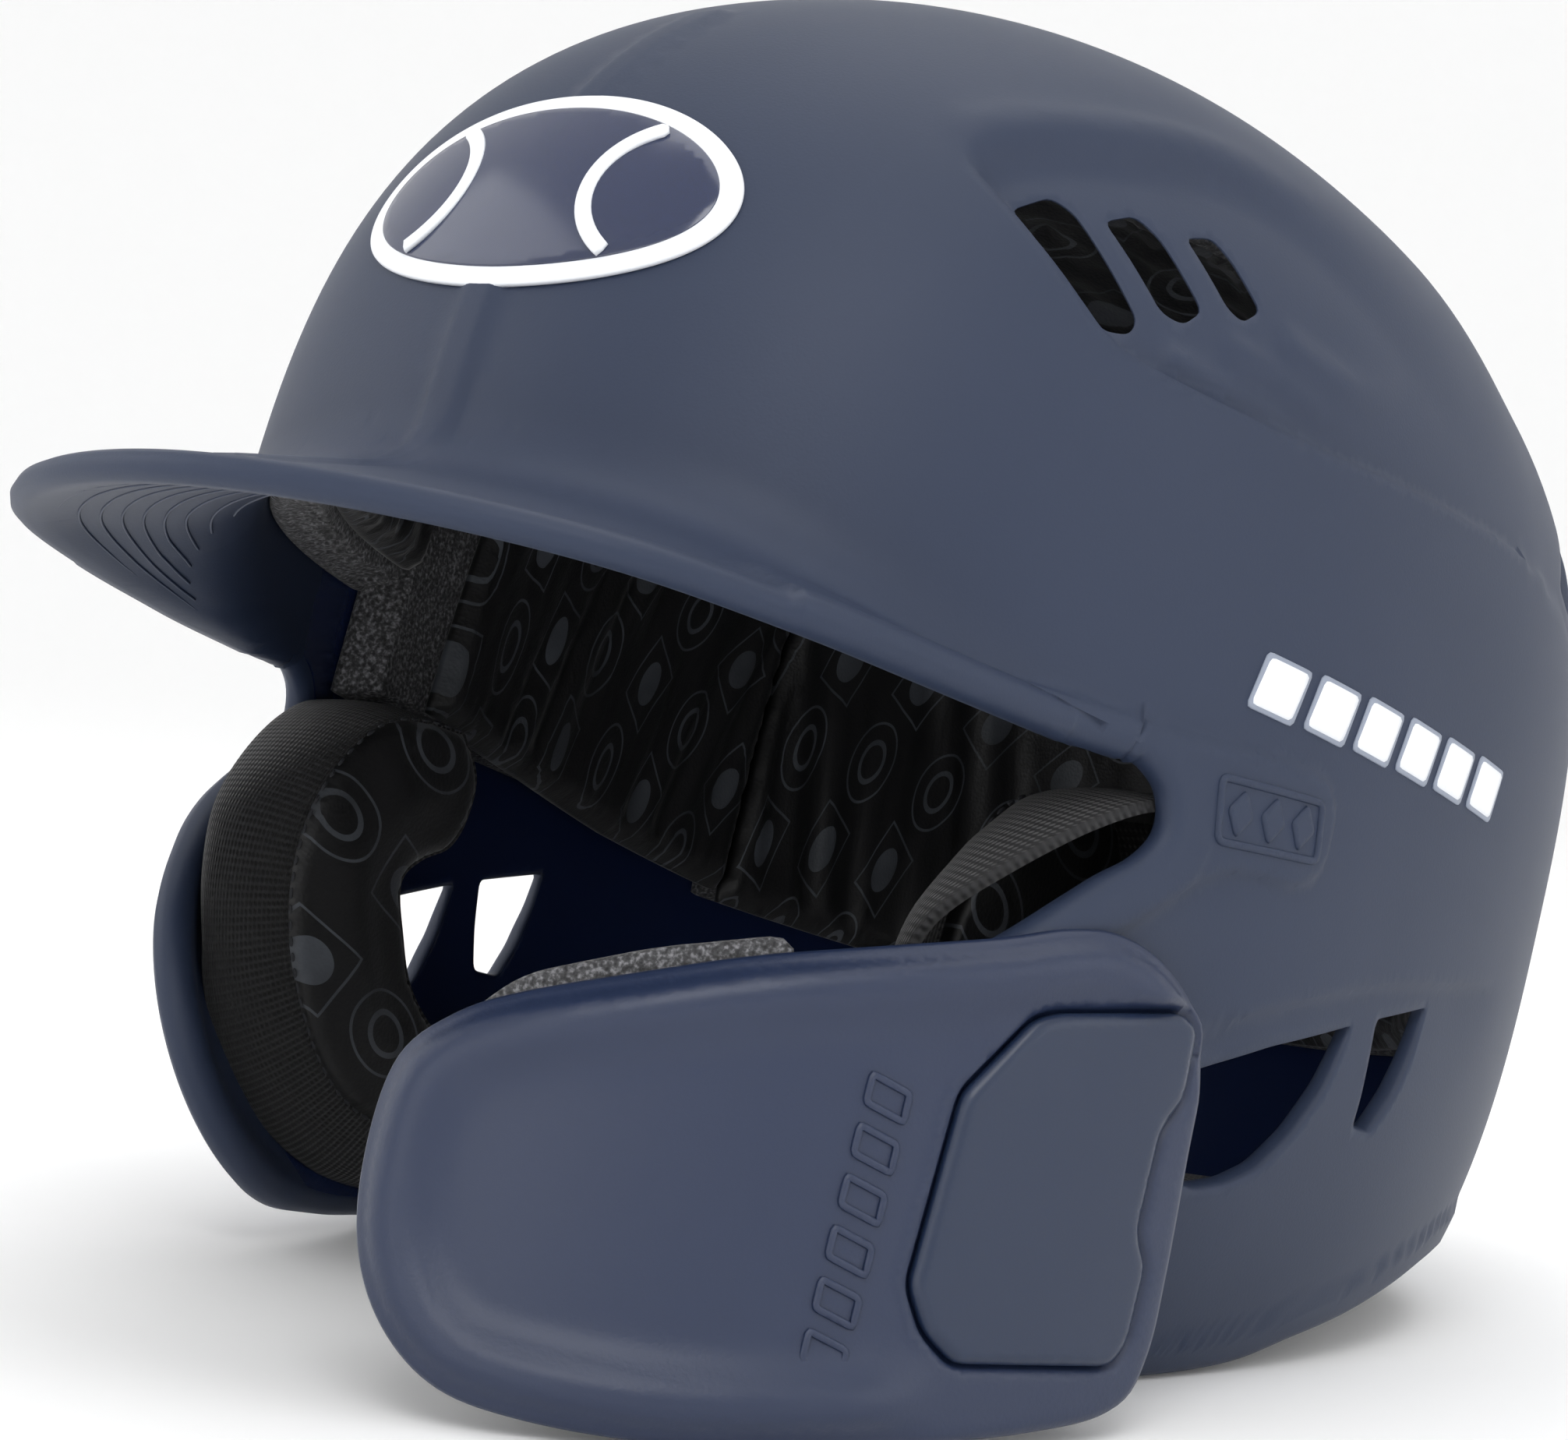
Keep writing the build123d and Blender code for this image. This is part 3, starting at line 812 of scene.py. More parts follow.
# ---- Rows that follow a line --------------------------------------------------------------------
@dataclass
class LineWork:
    """A node tree that lays a repeated or drawn-out shape along a line."""

    name: str
    sizes: dict
    material: bpy.types.Material
    seed: int = 7

    def start(self) -> tuple[bpy.types.NodeTree, bpy.types.Node, object]:
        """Makes the tree with its named inputs.

        Returns:
            The tree, its input node and the line as a curve.
        """
        tree = bpy.data.node_groups.new(self.name, "GeometryNodeTree")
        tree.interface.new_socket("Line", in_out="INPUT", socket_type="NodeSocketGeometry")
        for label in self.sizes:
            tree.interface.new_socket(label, in_out="INPUT", socket_type="NodeSocketFloat")
        tree.interface.new_socket("Seed", in_out="INPUT", socket_type="NodeSocketInt")
        tree.interface.new_socket("Row", in_out="OUTPUT", socket_type="NodeSocketGeometry")
        given = add(tree, "NodeGroupInput")
        curve = add(tree, "GeometryNodeMeshToCurve", {"Mesh": given.outputs["Line"]})
        return tree, given, curve.outputs["Curve"]

    def end(self, tree: bpy.types.NodeTree, shape: object) -> bpy.types.NodeTree:
        """Ends the tree with real meshes in the row's material.

        Args:
            tree: The tree to end.
            shape: What the tree has made.

        Returns:
            The same tree.
        """
        real = add(tree, "GeometryNodeRealizeInstances", {"Geometry": shape})
        dressed = add(tree, "GeometryNodeSetMaterial", {"Geometry": real.outputs[0],
                                                        "Material": self.material})
        add(tree, "NodeGroupOutput", {0: dressed.outputs[0]})
        return tree

    def stitches(self) -> bpy.types.NodeTree:
        """Lays a stitch at every pitch, each a little longer or shorter than the last.

        Returns:
            The finished tree.
        """
        tree, given, curve = self.start()
        spots = add(tree, "GeometryNodeCurveToPoints", {"Curve": curve, "Length": given.outputs["Pitch"]},
                    mode="LENGTH")
        turn = add(tree, "FunctionNodeAlignRotationToVector", {"Vector": spots.outputs["Tangent"]},
                   axis="Z")
        uneven = add(tree, "FunctionNodeRandomValue", {"Min": 0.85, "Max": 1.1,
                                                       "Seed": given.outputs["Seed"]})
        uneven = next(socket for socket in uneven.outputs if socket.enabled)
        half = add(tree, "ShaderNodeMath", {0: given.outputs["Stitch"], 1: uneven}, operation="MULTIPLY")
        size = add(tree, "ShaderNodeCombineXYZ", {"X": given.outputs["Thread"],
                                                  "Y": given.outputs["Thread"], "Z": half.outputs[0]})
        bead = add(tree, "GeometryNodeMeshUVSphere", {"Segments": 6, "Rings": 4, "Radius": 0.5})
        row = add(tree, "GeometryNodeInstanceOnPoints", {
            "Points": spots.outputs["Points"], "Instance": bead.outputs["Mesh"],
            "Rotation": turn.outputs[0], "Scale": size.outputs[0]})
        return self.end(tree, row.outputs[0])

    def ribs(self) -> bpy.types.NodeTree:
        """Draws a low round rib along each line.

        Returns:
            The finished tree.
        """
        tree, given, curve = self.start()
        profile = add(tree, "GeometryNodeCurvePrimitiveCircle", {"Resolution": 8,
                                                                 "Radius": given.outputs["Rib"]})
        rib = add(tree, "GeometryNodeCurveToMesh", {"Curve": curve, "Profile Curve": profile.outputs[0],
                                                    "Fill Caps": True})
        return self.end(tree, rib.outputs[0])

    def lay(self, tree: bpy.types.NodeTree, lines: list, body: str) -> bpy.types.Object:
        """Runs a tree over some lines and keeps the result as a plain piece.

        Args:
            tree: The stitches or the ribs.
            lines: Rows of level points for each line.
            body: The body that the piece rides on.

        Returns:
            The new piece.
        """
        points = np.vstack([to_frame(line) for line in lines])
        edges, first = [], 0
        for line in lines:
            edges += [(i, i + 1) for i in range(first, first + len(line) - 1)]
            first += len(line)
        guide_mesh = bpy.data.meshes.new(f"{self.name}_guide")
        guide_mesh.from_pydata(points.tolist(), edges, [])
        guide = put(f"{self.name}_guide", guide_mesh)
        modifier = guide.modifiers.new("row", "NODES")
        modifier.node_group = tree
        values = {**{label: size / 1000.0 for label, size in self.sizes.items()}, "Seed": self.seed}
        for socket in tree.interface.items_tree:
            if socket.in_out == "INPUT" and socket.name in values:
                modifier[socket.identifier] = values[socket.name]
        graph = bpy.context.evaluated_depsgraph_get()
        mesh = bpy.data.meshes.new_from_object(guide.evaluated_get(graph))
        mesh.name = self.name
        bpy.data.objects.remove(guide)
        piece = put(self.name, mesh)
        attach(piece, body)
        log.info("%s: %d faces", self.name, len(mesh.polygons))
        return piece


# ---- The dome and its flat chart --------------------------------------------------------------
@dataclass
class Dome:
    """The helmet's dome and brim, unrolled from the crown onto a flat chart.

    A chart place is the turn from straight ahead and the run down from the crown, as a polar pair.
    """

    half_width: float = 102.5
    front: float = 131.0
    rear: float = 143.0
    crown: float = 122.0
    skirt: float = 134.0
    plan_power: float = 2.16
    side_power: float = 2.85
    brim_edge_z: float = -11.0
    brim_reach: float = 180.0
    brim_slope: float = math.tan(math.radians(18.0))
    fillet: float = 10.0
    edge_round: float = 2.1
    mean_radius: float = 115.0       # radius that runs down from the crown are worked out with

    def __post_init__(self) -> None:
        """Tabulates the run down from the crown, and the brim's reach at each turn."""
        self.tilts = np.radians(np.linspace(90.0, -90.0, 3601))
        girth = np.abs(np.cos(self.tilts)) ** (2 / self.plan_power) * self.mean_radius
        height = self.height_at(self.tilts)
        steps = np.hypot(np.diff(girth), np.diff(height))
        self.runs = np.concatenate([[0.0], np.cumsum(steps)])
        edge = [(0, -180), (24, -176.5), (46, -167), (64, -151.8), (76, -128), (83, -105), (89, -82),
                (93.2, -66), (94.3, -57)]
        line = flowing([(-24, -176.5), *edge], 1.0)
        line = line[line[:, 0] >= -1.0]
        self.edge_turns = np.arctan2(line[:, 0], -line[:, 1])
        self.edge_radii = np.hypot(line[:, 0], line[:, 1]) - self.edge_round
        self.corner_turn = self.edge_turns[-1]

    def height_at(self, tilt: np.ndarray) -> np.ndarray:
        """Height on the dome at a tilt above its widest plane."""
        depth = np.where(tilt > 0, self.crown, self.skirt)
        return np.sign(tilt) * depth * np.abs(np.sin(tilt)) ** (2 / self.side_power)

    def radius_at(self, turn: np.ndarray, height: np.ndarray) -> np.ndarray:
        """Distance from the upright axis to the dome.

        Args:
            turn: Turns from straight ahead.
            height: Heights above the widest plane.

        Returns:
            The distance at each turn and height.
        """
        depth = np.where(height > 0, self.crown, self.skirt)
        share = np.clip(1 - np.abs(height / depth) ** self.side_power, 0.0, 1.0)
        length = np.where(np.cos(turn) > 0, self.front, self.rear)
        across = (np.abs(np.sin(turn) / self.half_width) ** self.plan_power
                  + np.abs(np.cos(turn) / length) ** self.plan_power)
        return (share / across) ** (1 / self.plan_power)

    def run_of_height(self, height: np.ndarray) -> np.ndarray:
        """Run down from the crown to a height."""
        return np.interp(-np.asarray(height, float), -self.height_at(self.tilts), self.runs)

    def chart_of_side(self, rows: np.ndarray) -> np.ndarray:
        """Chart places of side-view points on the wearer's left.

        Args:
            rows: Rows of y, z.

        Returns:
            Flat chart rows.
        """
        y, z = np.asarray(rows, float).T
        depth = np.where(z > 0, self.crown, self.skirt)
        length = np.where(y < 0, self.front, self.rear)
        share = 1 - np.abs(z / depth) ** self.side_power - np.abs(y / length) ** self.plan_power
        x = self.half_width * np.clip(share, 0.0, 1.0) ** (1 / self.plan_power)
        return self.chart(np.arctan2(x, -y), self.run_of_height(z))

    @staticmethod
    def chart(turn: np.ndarray, run: np.ndarray) -> np.ndarray:
        """Flat chart rows of turns and runs."""
        return np.stack([run * np.sin(turn), -run * np.cos(turn)], 1)

    def brim_at(self, turn: np.ndarray) -> tuple[np.ndarray, np.ndarray, np.ndarray]:
        """The brim's section at each turn.

        Args:
            turn: Turns from straight ahead.

        Returns:
            How far the brim stands out, the height where it leaves the dome, and its share of run.
        """
        swing = np.abs(turn)
        radius = np.interp(swing, self.edge_turns, self.edge_radii)
        stand = radius - self.radius_at(turn, np.full_like(turn, self.brim_edge_z))
        stand = np.where(swing < self.corner_turn, np.maximum(stand, 0.0), 0.0)
        root = self.brim_edge_z + self.brim_slope * stand + self.fillet
        return stand, root, self.run_of_height(self.brim_edge_z) - self.run_of_height(root)

    def on_brim(self, flat: np.ndarray) -> np.ndarray:
        """Finds which chart places belong to the brim.

        Args:
            flat: Flat chart rows.

        Returns:
            True for each row on the brim.
        """
        turn = np.arctan2(flat[:, 0], -flat[:, 1])
        stand, root, length = self.brim_at(turn)
        past = np.hypot(flat[:, 0], flat[:, 1]) - self.run_of_height(root)
        return (past > 0) & (past < length + 0.6) & (np.abs(turn) < self.corner_turn) & (stand > 0)

    def surface(self, flat: np.ndarray, on_brim: np.ndarray | None = None) -> np.ndarray:
        """Points of the dome and brim at chart places.

        Args:
            flat: Flat chart rows.
            on_brim: Which rows belong to the brim, or None to find out.

        Returns:
            Rows of x, y, z.
        """
        turn = np.arctan2(flat[:, 0], -flat[:, 1])
        run = np.hypot(flat[:, 0], flat[:, 1])
        height = np.interp(run, self.runs, self.height_at(self.tilts))
        radius = self.radius_at(turn, height)
        stand, root, length = self.brim_at(turn)
        past = run - self.run_of_height(root)
        if on_brim is None:
            on_brim = self.on_brim(flat)
        share = np.clip(past / np.maximum(length, 1.0), 0.0, 1.3)
        knee = self.brim_edge_z + self.brim_slope * stand
        foot = np.minimum(self.fillet + 2.0, 0.5 * stand)
        bend = (self.fillet + foot) / (self.fillet + 1.05 * stand)
        t = np.clip(share / bend, 0.0, 1.0)
        curve_out = t * t * foot
        curve_z = (1 - t) ** 2 * root + 2 * t * (1 - t) * knee + t * t * (knee - self.brim_slope * foot)
        s = (share - bend) / np.maximum(1 - bend, 1e-6)
        flat_out = foot + s * (stand - foot)
        flat_z = knee - self.brim_slope * flat_out
        out = np.where(share < bend, curve_out, flat_out)
        brim_z = np.where(share < bend, curve_z, flat_z)
        height = np.where(on_brim, brim_z, height)
        radius = np.where(on_brim, self.radius_at(turn, brim_z) + out, radius)
        return np.stack([radius * np.sin(turn), -radius * np.cos(turn), height], 1)

    def plain(self, flat: np.ndarray) -> tuple[np.ndarray, np.ndarray]:
        """The dome as if it had no brim.

        Args:
            flat: Flat chart rows.

        Returns:
            The points and the outward directions.
        """
        step, none = 0.4, np.zeros(len(flat), bool)
        right = self.surface(flat + [step, 0.0], none) - self.surface(flat - [step, 0.0], none)
        up = self.surface(flat + [0.0, step], none) - self.surface(flat - [0.0, step], none)
        return self.surface(flat, none), unit(np.cross(right, up))

    def normals(self, flat: np.ndarray) -> np.ndarray:
        """Outward directions at chart places.

        Args:
            flat: Flat chart rows.

        Returns:
            Rows of length one.
        """
        step, brim = 0.4, self.on_brim(flat)
        right = self.surface(flat + [step, 0.0], brim) - self.surface(flat - [step, 0.0], brim)
        up = self.surface(flat + [0.0, step], brim) - self.surface(flat - [0.0, step], brim)
        return unit(np.cross(right, up))


DOME = Dome()
STAND = stand_offset()
EDGE_ROUND = 1.8                     # how far the shell's rounded edge stands past its outline


# ---- Outer shell ------------------------------------------------------------------------------
@dataclass
class OuterShell:
    """The painted shell: dome, brim, ear flaps, vents and moulded lines."""

    wall: float = WALL
    ridge: float = 1.2
    recess: float = 3.2
    lip: float = 0.7                 # raised lip over the front vents
    vent_ridge: float = 1.5          # ridges that run back from the front vents
    ear_step: float = 1.1            # step down below the ridge over the ear
    brim_bead: float = 0.9           # beads along the brim's edge and the rear rim
    rear_bead: float = 0.7
    flap_roll: float = 4.2           # outward roll of the flap's edge, outside and inside
    flap_hollow: float = 3.4
    roll_reach: float = 13.0         # how far in from the edge that roll dies away
    brim_ribs: int = 9
    brim_rib: float = 0.24           # radius of a ring under the brim
    brim_rib_first: float = 0.9      # the outermost ring's share of the way out, then the pitch
    brim_rib_pitch: float = 0.075
    brim_rib_span: float = 0.78      # its share of the brim's turn, then what each ring loses
    brim_rib_taper: float = 0.05
    plaque_rise: float = 0.45        # plaque above the ridge
    plaque_line: float = 0.9
    rim_side: list = field(default_factory=lambda: [
        (-66, -11.2), (-61, -12.6), (-57, -15.2), (-55, -19), (-55.3, -23.2), (-58.5, -28),
        (-64, -33), (-72, -42), (-82, -54), (-87.3, -66), (-85.5, -80), (-76, -93), (-60, -102),
        (-38, -105), (-12, -101.5), (14, -94), (29, -86.5), (43, -80), (58, -72.5), (72, -66),
        (86, -62), (98, -60.5)])
    front_slots: list = field(default_factory=lambda: [
        [(-90.5, 65.5), (-84, 70.5), (-81, 69), (-73, 54), (-74.5, 51), (-79, 50)],
        [(-76.5, 69.5), (-70.5, 73), (-67, 70.5), (-61, 60.5), (-65, 56.5), (-69, 57)],
        [(-62, 72.8), (-56, 75.2), (-53, 72.5), (-48.5, 65.5), (-53, 61.8), (-56, 63)]])
    rear_slots: list = field(default_factory=lambda: [
        [(72, 72), (80, 68), (68, 52), (60, 55)], [(88, 62), (95, 57), (84, 42), (77, 46)],
        [(101, 49), (107, 43), (98, 31), (92, 35)]])
    ear_openings: list = field(default_factory=lambda: [
        [(-36, -54.5), (-18, -45.5), (2.5, -37), (0, -48), (-4, -57), (-9, -64), (-15, -68),
         (-22, -70.5), (-31, -70)],
        [(9, -34.5), (26, -28.5), (25, -36), (22.5, -44.5), (18.5, -52), (11.5, -52.5), (10, -44)]])
    low_crease: list = field(default_factory=lambda: [
        (-98, 75), (-95.5, 69), (-91, 62), (-84, 52.5), (-77, 46.5), (-61, 44.5), (-38, 45),
        (-5, 48), (27, 50.5), (49, 49.5), (75, 45)])
    top_crease: list = field(default_factory=lambda: [
        (-98.5, 66), (-95.5, 71.5), (-91, 76), (-82, 80.8), (-68, 85.7), (-50, 90.4), (-30, 93.5),
        (20, 98)])
    temple: list = field(default_factory=lambda: [
        (-130, -9), (-92, -8.5), (-78, -8), (-65, -7.2), (-49.4, -6), (-36, -4.2), (-26, -4), (-21.5, -7),
        (-20.5, -12), (-21.5, -18.5), (-27.5, -21.8), (-37.4, -22.8), (-44, -25), (-51.3, -30.5),
        (-61, -39.5), (-70, -50), (-95, -60)])
    plaque: list = field(default_factory=lambda: [
        (-48.6, -10.2), (-25, -7.4), (-23, -17.2), (-46.4, -20.6)])
    ear_ridge: list = field(default_factory=lambda: [
        (60, -17), (48, -19.5), (12, -27.6), (-10, -35), (-28, -43), (-46, -53)])

    vent_ridges: tuple = (((-71, 50.0), (-38, 48.5)), ((-59, 56), (-20, 58)), ((-47, 62), (-8, 70)))

    def rim(self) -> np.ndarray:
        """Draws the half shell's whole outline on the chart, closed along the middle plane.

        Returns:
            Flat chart rows round the outline.
        """
        turns = np.linspace(0.0, DOME.corner_turn - 0.07, 150)
        lift = EDGE_ROUND * ramp(turns, DOME.corner_turn - 0.34, DOME.corner_turn - 0.07)
        brim = DOME.chart(turns, DOME.run_of_height(DOME.brim_edge_z + lift))
        side = DOME.chart_of_side(beside_line(flowing(self.rim_side, 1.2), EDGE_ROUND))
        last_turn = math.atan2(side[-1, 0], -side[-1, 1])
        turns = np.linspace(last_turn, math.pi, 60)[1:]
        low = float(self.rim_side[-1][1]) + EDGE_ROUND
        rear = DOME.chart(turns, np.full(len(turns), DOME.run_of_height(low)))
        rear[-1, 0] = 0.0
        brim[0, 0] = 0.0
        edge = np.vstack([brim, side, rear])
        gaps = np.linalg.norm(np.diff(edge, axis=0), axis=1)
        edge = edge[np.concatenate([[True], gaps > 0.4])]
        middle = np.arange(edge[-1, 1] - 3.0, edge[0, 1] + 2.0, -3.0)
        return np.vstack([edge, np.stack([np.zeros(len(middle)), middle], 1)])

    def relief(self, base: np.ndarray) -> np.ndarray:
        """How far the moulded lines raise or sink the outer face.

        Args:
            base: Points on the smooth dome.

        Returns:
            Millimetres outward at each point.
        """
        side = base[:, 1:]
        beside = np.abs(base[:, 0]) > 20
        y, z = side.T
        # The recessed channel between the two creases, deepest at the front.
        low, _ = gap_to_line(side, flowing(self.low_crease, 4.0))
        top, _ = gap_to_line(side, flowing(self.top_crease, 4.0))
        fade = 1 - ramp(y, -60, 95)
        spread = 5.5 + 34 * ramp(y, -55, 30)
        above = np.where(low > 0, ramp(low, 0.0, 1.8), 0.0)
        below_top = np.clip(-top / spread, 0.0, 1.0)
        below_top = below_top * below_top * (3 - 2 * below_top)
        rise = -self.recess * above * below_top * (0.25 + 0.75 * fade) * ramp(y, -101, -95)
        rise = rise * (1 - ramp(y, 45, 90)) * beside
        # The lip over the front vents, then the ridges that run back from them.
        lip = swell(top, 1.6, 2.2) * ramp(y, -98, -92) * (1 - ramp(y, -60, -28))
        rise = rise + self.lip * lip * beside * (z > 60)
        for foot, tail in self.vent_ridges:
            gap, share = gap_to_line(side, flowing([foot, ((foot[0] + tail[0]) / 2 + 2, foot[1] - 1.5),
                                                    tail], 4.0))
            crest = swell(gap, 0.0, 2.6) * ramp(share, 0.0, 0.12) * (1 - ramp(share, 0.25, 1.0))
            rise = rise + self.vent_ridge * crest * beside
        # The raised temple border, then the step below the ridge over the ear.
        temple = depth_inside(side, flowing(self.temple, 3.0, closed=True))
        rise = rise + self.ridge * ramp(temple, -0.5, 0.5) * beside * (y > -128) * ramp(z, -54, -40)
        ear, share = gap_to_line(side, flowing(self.ear_ridge, 3.0))
        ends = ramp(share, 0.0, 0.25) * (1 - ramp(share, 0.85, 1.0))
        rise = rise - self.ear_step * ends * ramp(ear, -0.3, 1.6) * (1 - ramp(ear, 2, 20)) * beside
        return rise

    def sheet(self, rim: np.ndarray) -> tuple[np.ndarray, np.ndarray]:
        """Cuts the half shell's chart into triangles that follow its openings and creases.

        Args:
            rim: The half shell's outline on the chart.

        Returns:
            The flat points and the triangles.
        """
        slots = [*self.front_slots, *self.rear_slots, *self.ear_openings]
        holes = [resample(DOME.chart_of_side(rounded(slot, 1.6, 0.8)), 1.0, closed=True) for slot in slots]
        creases = [(self.low_crease[1:-2], 0.0, 1.6), (self.temple[2:-1], -0.5, 0.5),
                   (self.top_crease[1:-1], 0.0, 2.0), (self.ear_ridge[1:-1], 0.0, 1.4)]
        lines = [DOME.chart_of_side(beside_line(flowing(line, 1.2), gap))
                 for line, *gaps in creases for gap in gaps]
        turns = np.linspace(0.015, DOME.corner_turn - 0.09, 110)
        _, root, length = DOME.brim_at(turns)
        lines += [DOME.chart(turns, DOME.run_of_height(root) + share * length)
                  for share in np.linspace(0.0, 1.0, 14)[:-1]]
        clear = [part for line in lines for part in self.clear_of(line, [rim, *holes])]
        return Sheet([rim, *holes], clear, coarse=3.2, fine=1.5, band=5.0).cut()

    @staticmethod
    def rim_distance(rim: np.ndarray, points: np.ndarray) -> np.ndarray:
        """Distance from points of the shell to its outline, save the stretch across the crown.

        Args:
            rim: The half shell's outline on the chart.
            points: Rows of x, y, z on the shell.

        Returns:
            The distance from each point, through space.
        """
        edge = KDTree(len(rim))
        crown_run = 90.0                 # outline points nearer the crown than this are left out
        for i, row in enumerate(DOME.surface(rim)[np.hypot(rim[:, 0], rim[:, 1]) > crown_run]):
            edge.insert(row, i)
        edge.balance()
        return np.array([edge.find(row)[2] for row in points])

    def build(self, finishes: Finishes) -> bpy.types.Object:
        """Builds the shell.

        Args:
            finishes: The helmet's finishes.

        Returns:
            The shell piece.
        """
        rim = self.rim()
        flat, triangles = self.sheet(rim)
        base = DOME.surface(flat)
        normal = DOME.normals(flat)
        seam = flat[:, 0] < 1e-4
        base[seam, 0] = 0.0
        normal[seam, 0] = 0.0
        normal = unit(normal)
        to_rim = self.rim_distance(rim, base)
        turn = np.arctan2(flat[:, 0], -flat[:, 1])
        brim = (1 - ramp(turn, DOME.corner_turn - 0.12, DOME.corner_turn + 0.02))
        below = ramp(-base[:, 2], 8, 40) * (1 - brim)
        ahead = 1 - ramp(base[:, 1], -60, -25)
        flap = ramp(-base[:, 2], 22, 50) * ahead
        roll = np.exp(-(to_rim / self.roll_reach) ** 2)
        top = base + normal * self.relief(base)[:, None]
        top += normal * (self.brim_bead * (1 - ramp(to_rim, 2.5, 5.0)) * brim)[:, None]
        top += normal * (self.rear_bead * (1 - ramp(to_rim, 5.5, 7.0)) * below * (1 - flap))[:, None]
        top += normal * (self.flap_roll * roll * flap)[:, None]
        wall = self.wall + 0.5 * (1 - ramp(to_rim, 2.5, 6.0)) * brim
        wall = wall + 1.0 * np.exp(-(to_rim / 5) ** 2) * (flap + 0.6 * ahead * (1 - brim))
        bottom = base - normal * wall[:, None]
        bottom += normal * (self.flap_hollow * roll * flap)[:, None]
        fullness = np.where(to_rim < 0.6, 1.0, 0.3)
        skin = thick_skin(top, bottom, triangles, flat, fullness, seam)
        # The brim is painted underneath too; the rest of the inside is bare.
        under = brim[triangles].mean(1) * (base[triangles][:, :, 2].mean(1) < DOME.brim_edge_z + 22)
        skin.finish[len(triangles):2 * len(triangles)] = np.where(under > 0.5, 0, 1)
        whole = weld_mirror(skin)
        shell = make_piece("shell_skin", whole, [finishes.shell, finishes.lining], "helmet")
        self.build_plaque(finishes)
        self.build_brim_ribs(finishes)
        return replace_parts(shell, "outer_shell")

    def build_brim_ribs(self, finishes: Finishes) -> None:
        """Builds the fine rings moulded on the brim's underside."""
        lines = []
        for count in range(self.brim_ribs):
            share = self.brim_rib_first - self.brim_rib_pitch * count
            span = self.brim_rib_span - self.brim_rib_taper * count
            turns = np.linspace(0.0, DOME.corner_turn * span, 60)
            _, root, length = DOME.brim_at(turns)
            flat = DOME.chart(turns, DOME.run_of_height(root) + share * length)
            under = DOME.surface(flat) - DOME.normals(flat) * (self.wall + 0.05)
            under[0, 0] = 0.0
            lines.append(np.vstack([under[:0:-1] * [-1.0, 1.0, 1.0], under]))
        rings = LineWork("brim_rings", {"Rib": self.brim_rib}, finishes.shell)
        rings.lay(rings.ribs(), lines, "helmet")

    def build_plaque(self, finishes: Finishes) -> None:
        """Builds the raised frame and the diamonds behind each temple."""
        border = rounded(self.plaque, 1.8, 0.7)
        centre = np.array(self.plaque).mean(0)
        groups = [[border, drawn_in(border, self.plaque_line)]]
        for step in (-1, 0, 1):
            y, z = centre + [7.0 * step, 1.0 * step]
            groups.append([rounded([(y - 2.6, z), (y, z - 3.6), (y + 2.6, z), (y, z + 3.6)], 0.5, 0.6)])
        patches = []
        for group in groups:
            flat, triangles = Sheet([DOME.chart_of_side(loop) for loop in group], coarse=1.6,
                                    fine=0.8, band=1.5).cut()
            base, normal = DOME.surface(flat), DOME.normals(flat)
            top = base + normal * (self.ridge + self.plaque_rise)
            patches.append(even_skin(top, base, triangles, flat, 0.3, rows=2))
        plaque = reduce(Skin.joined, patches)
        for side in Side:
            make_piece(f"temple_plaque_{side.word}", plaque.on(side), [finishes.shell, finishes.shell],
                       "helmet")

    @staticmethod
    def clear_of(line: np.ndarray, loops: list) -> list:
        """Cuts a crease where it would come too near an edge.

        Args:
            line: Rows of the crease.
            loops: The outlines that it keeps clear of.

        Returns:
            The stretches that are left.
        """
        inside = within(line, loops[0])
        for i, loop in enumerate(loops):
            gap = np.min(np.linalg.norm(line[:, None, :] - loop[None, :, :], axis=2), axis=1)
            inside &= gap > 1.3
            if i:
                inside &= ~within(line, loop)
        parts, current = [], []
        for keep, row in zip(inside, line):
            if keep:
                current.append(row)
            elif current:
                parts.append(np.array(current))
                current = []
        if current:
            parts.append(np.array(current))
        return [part for part in parts if len(part) > 2]


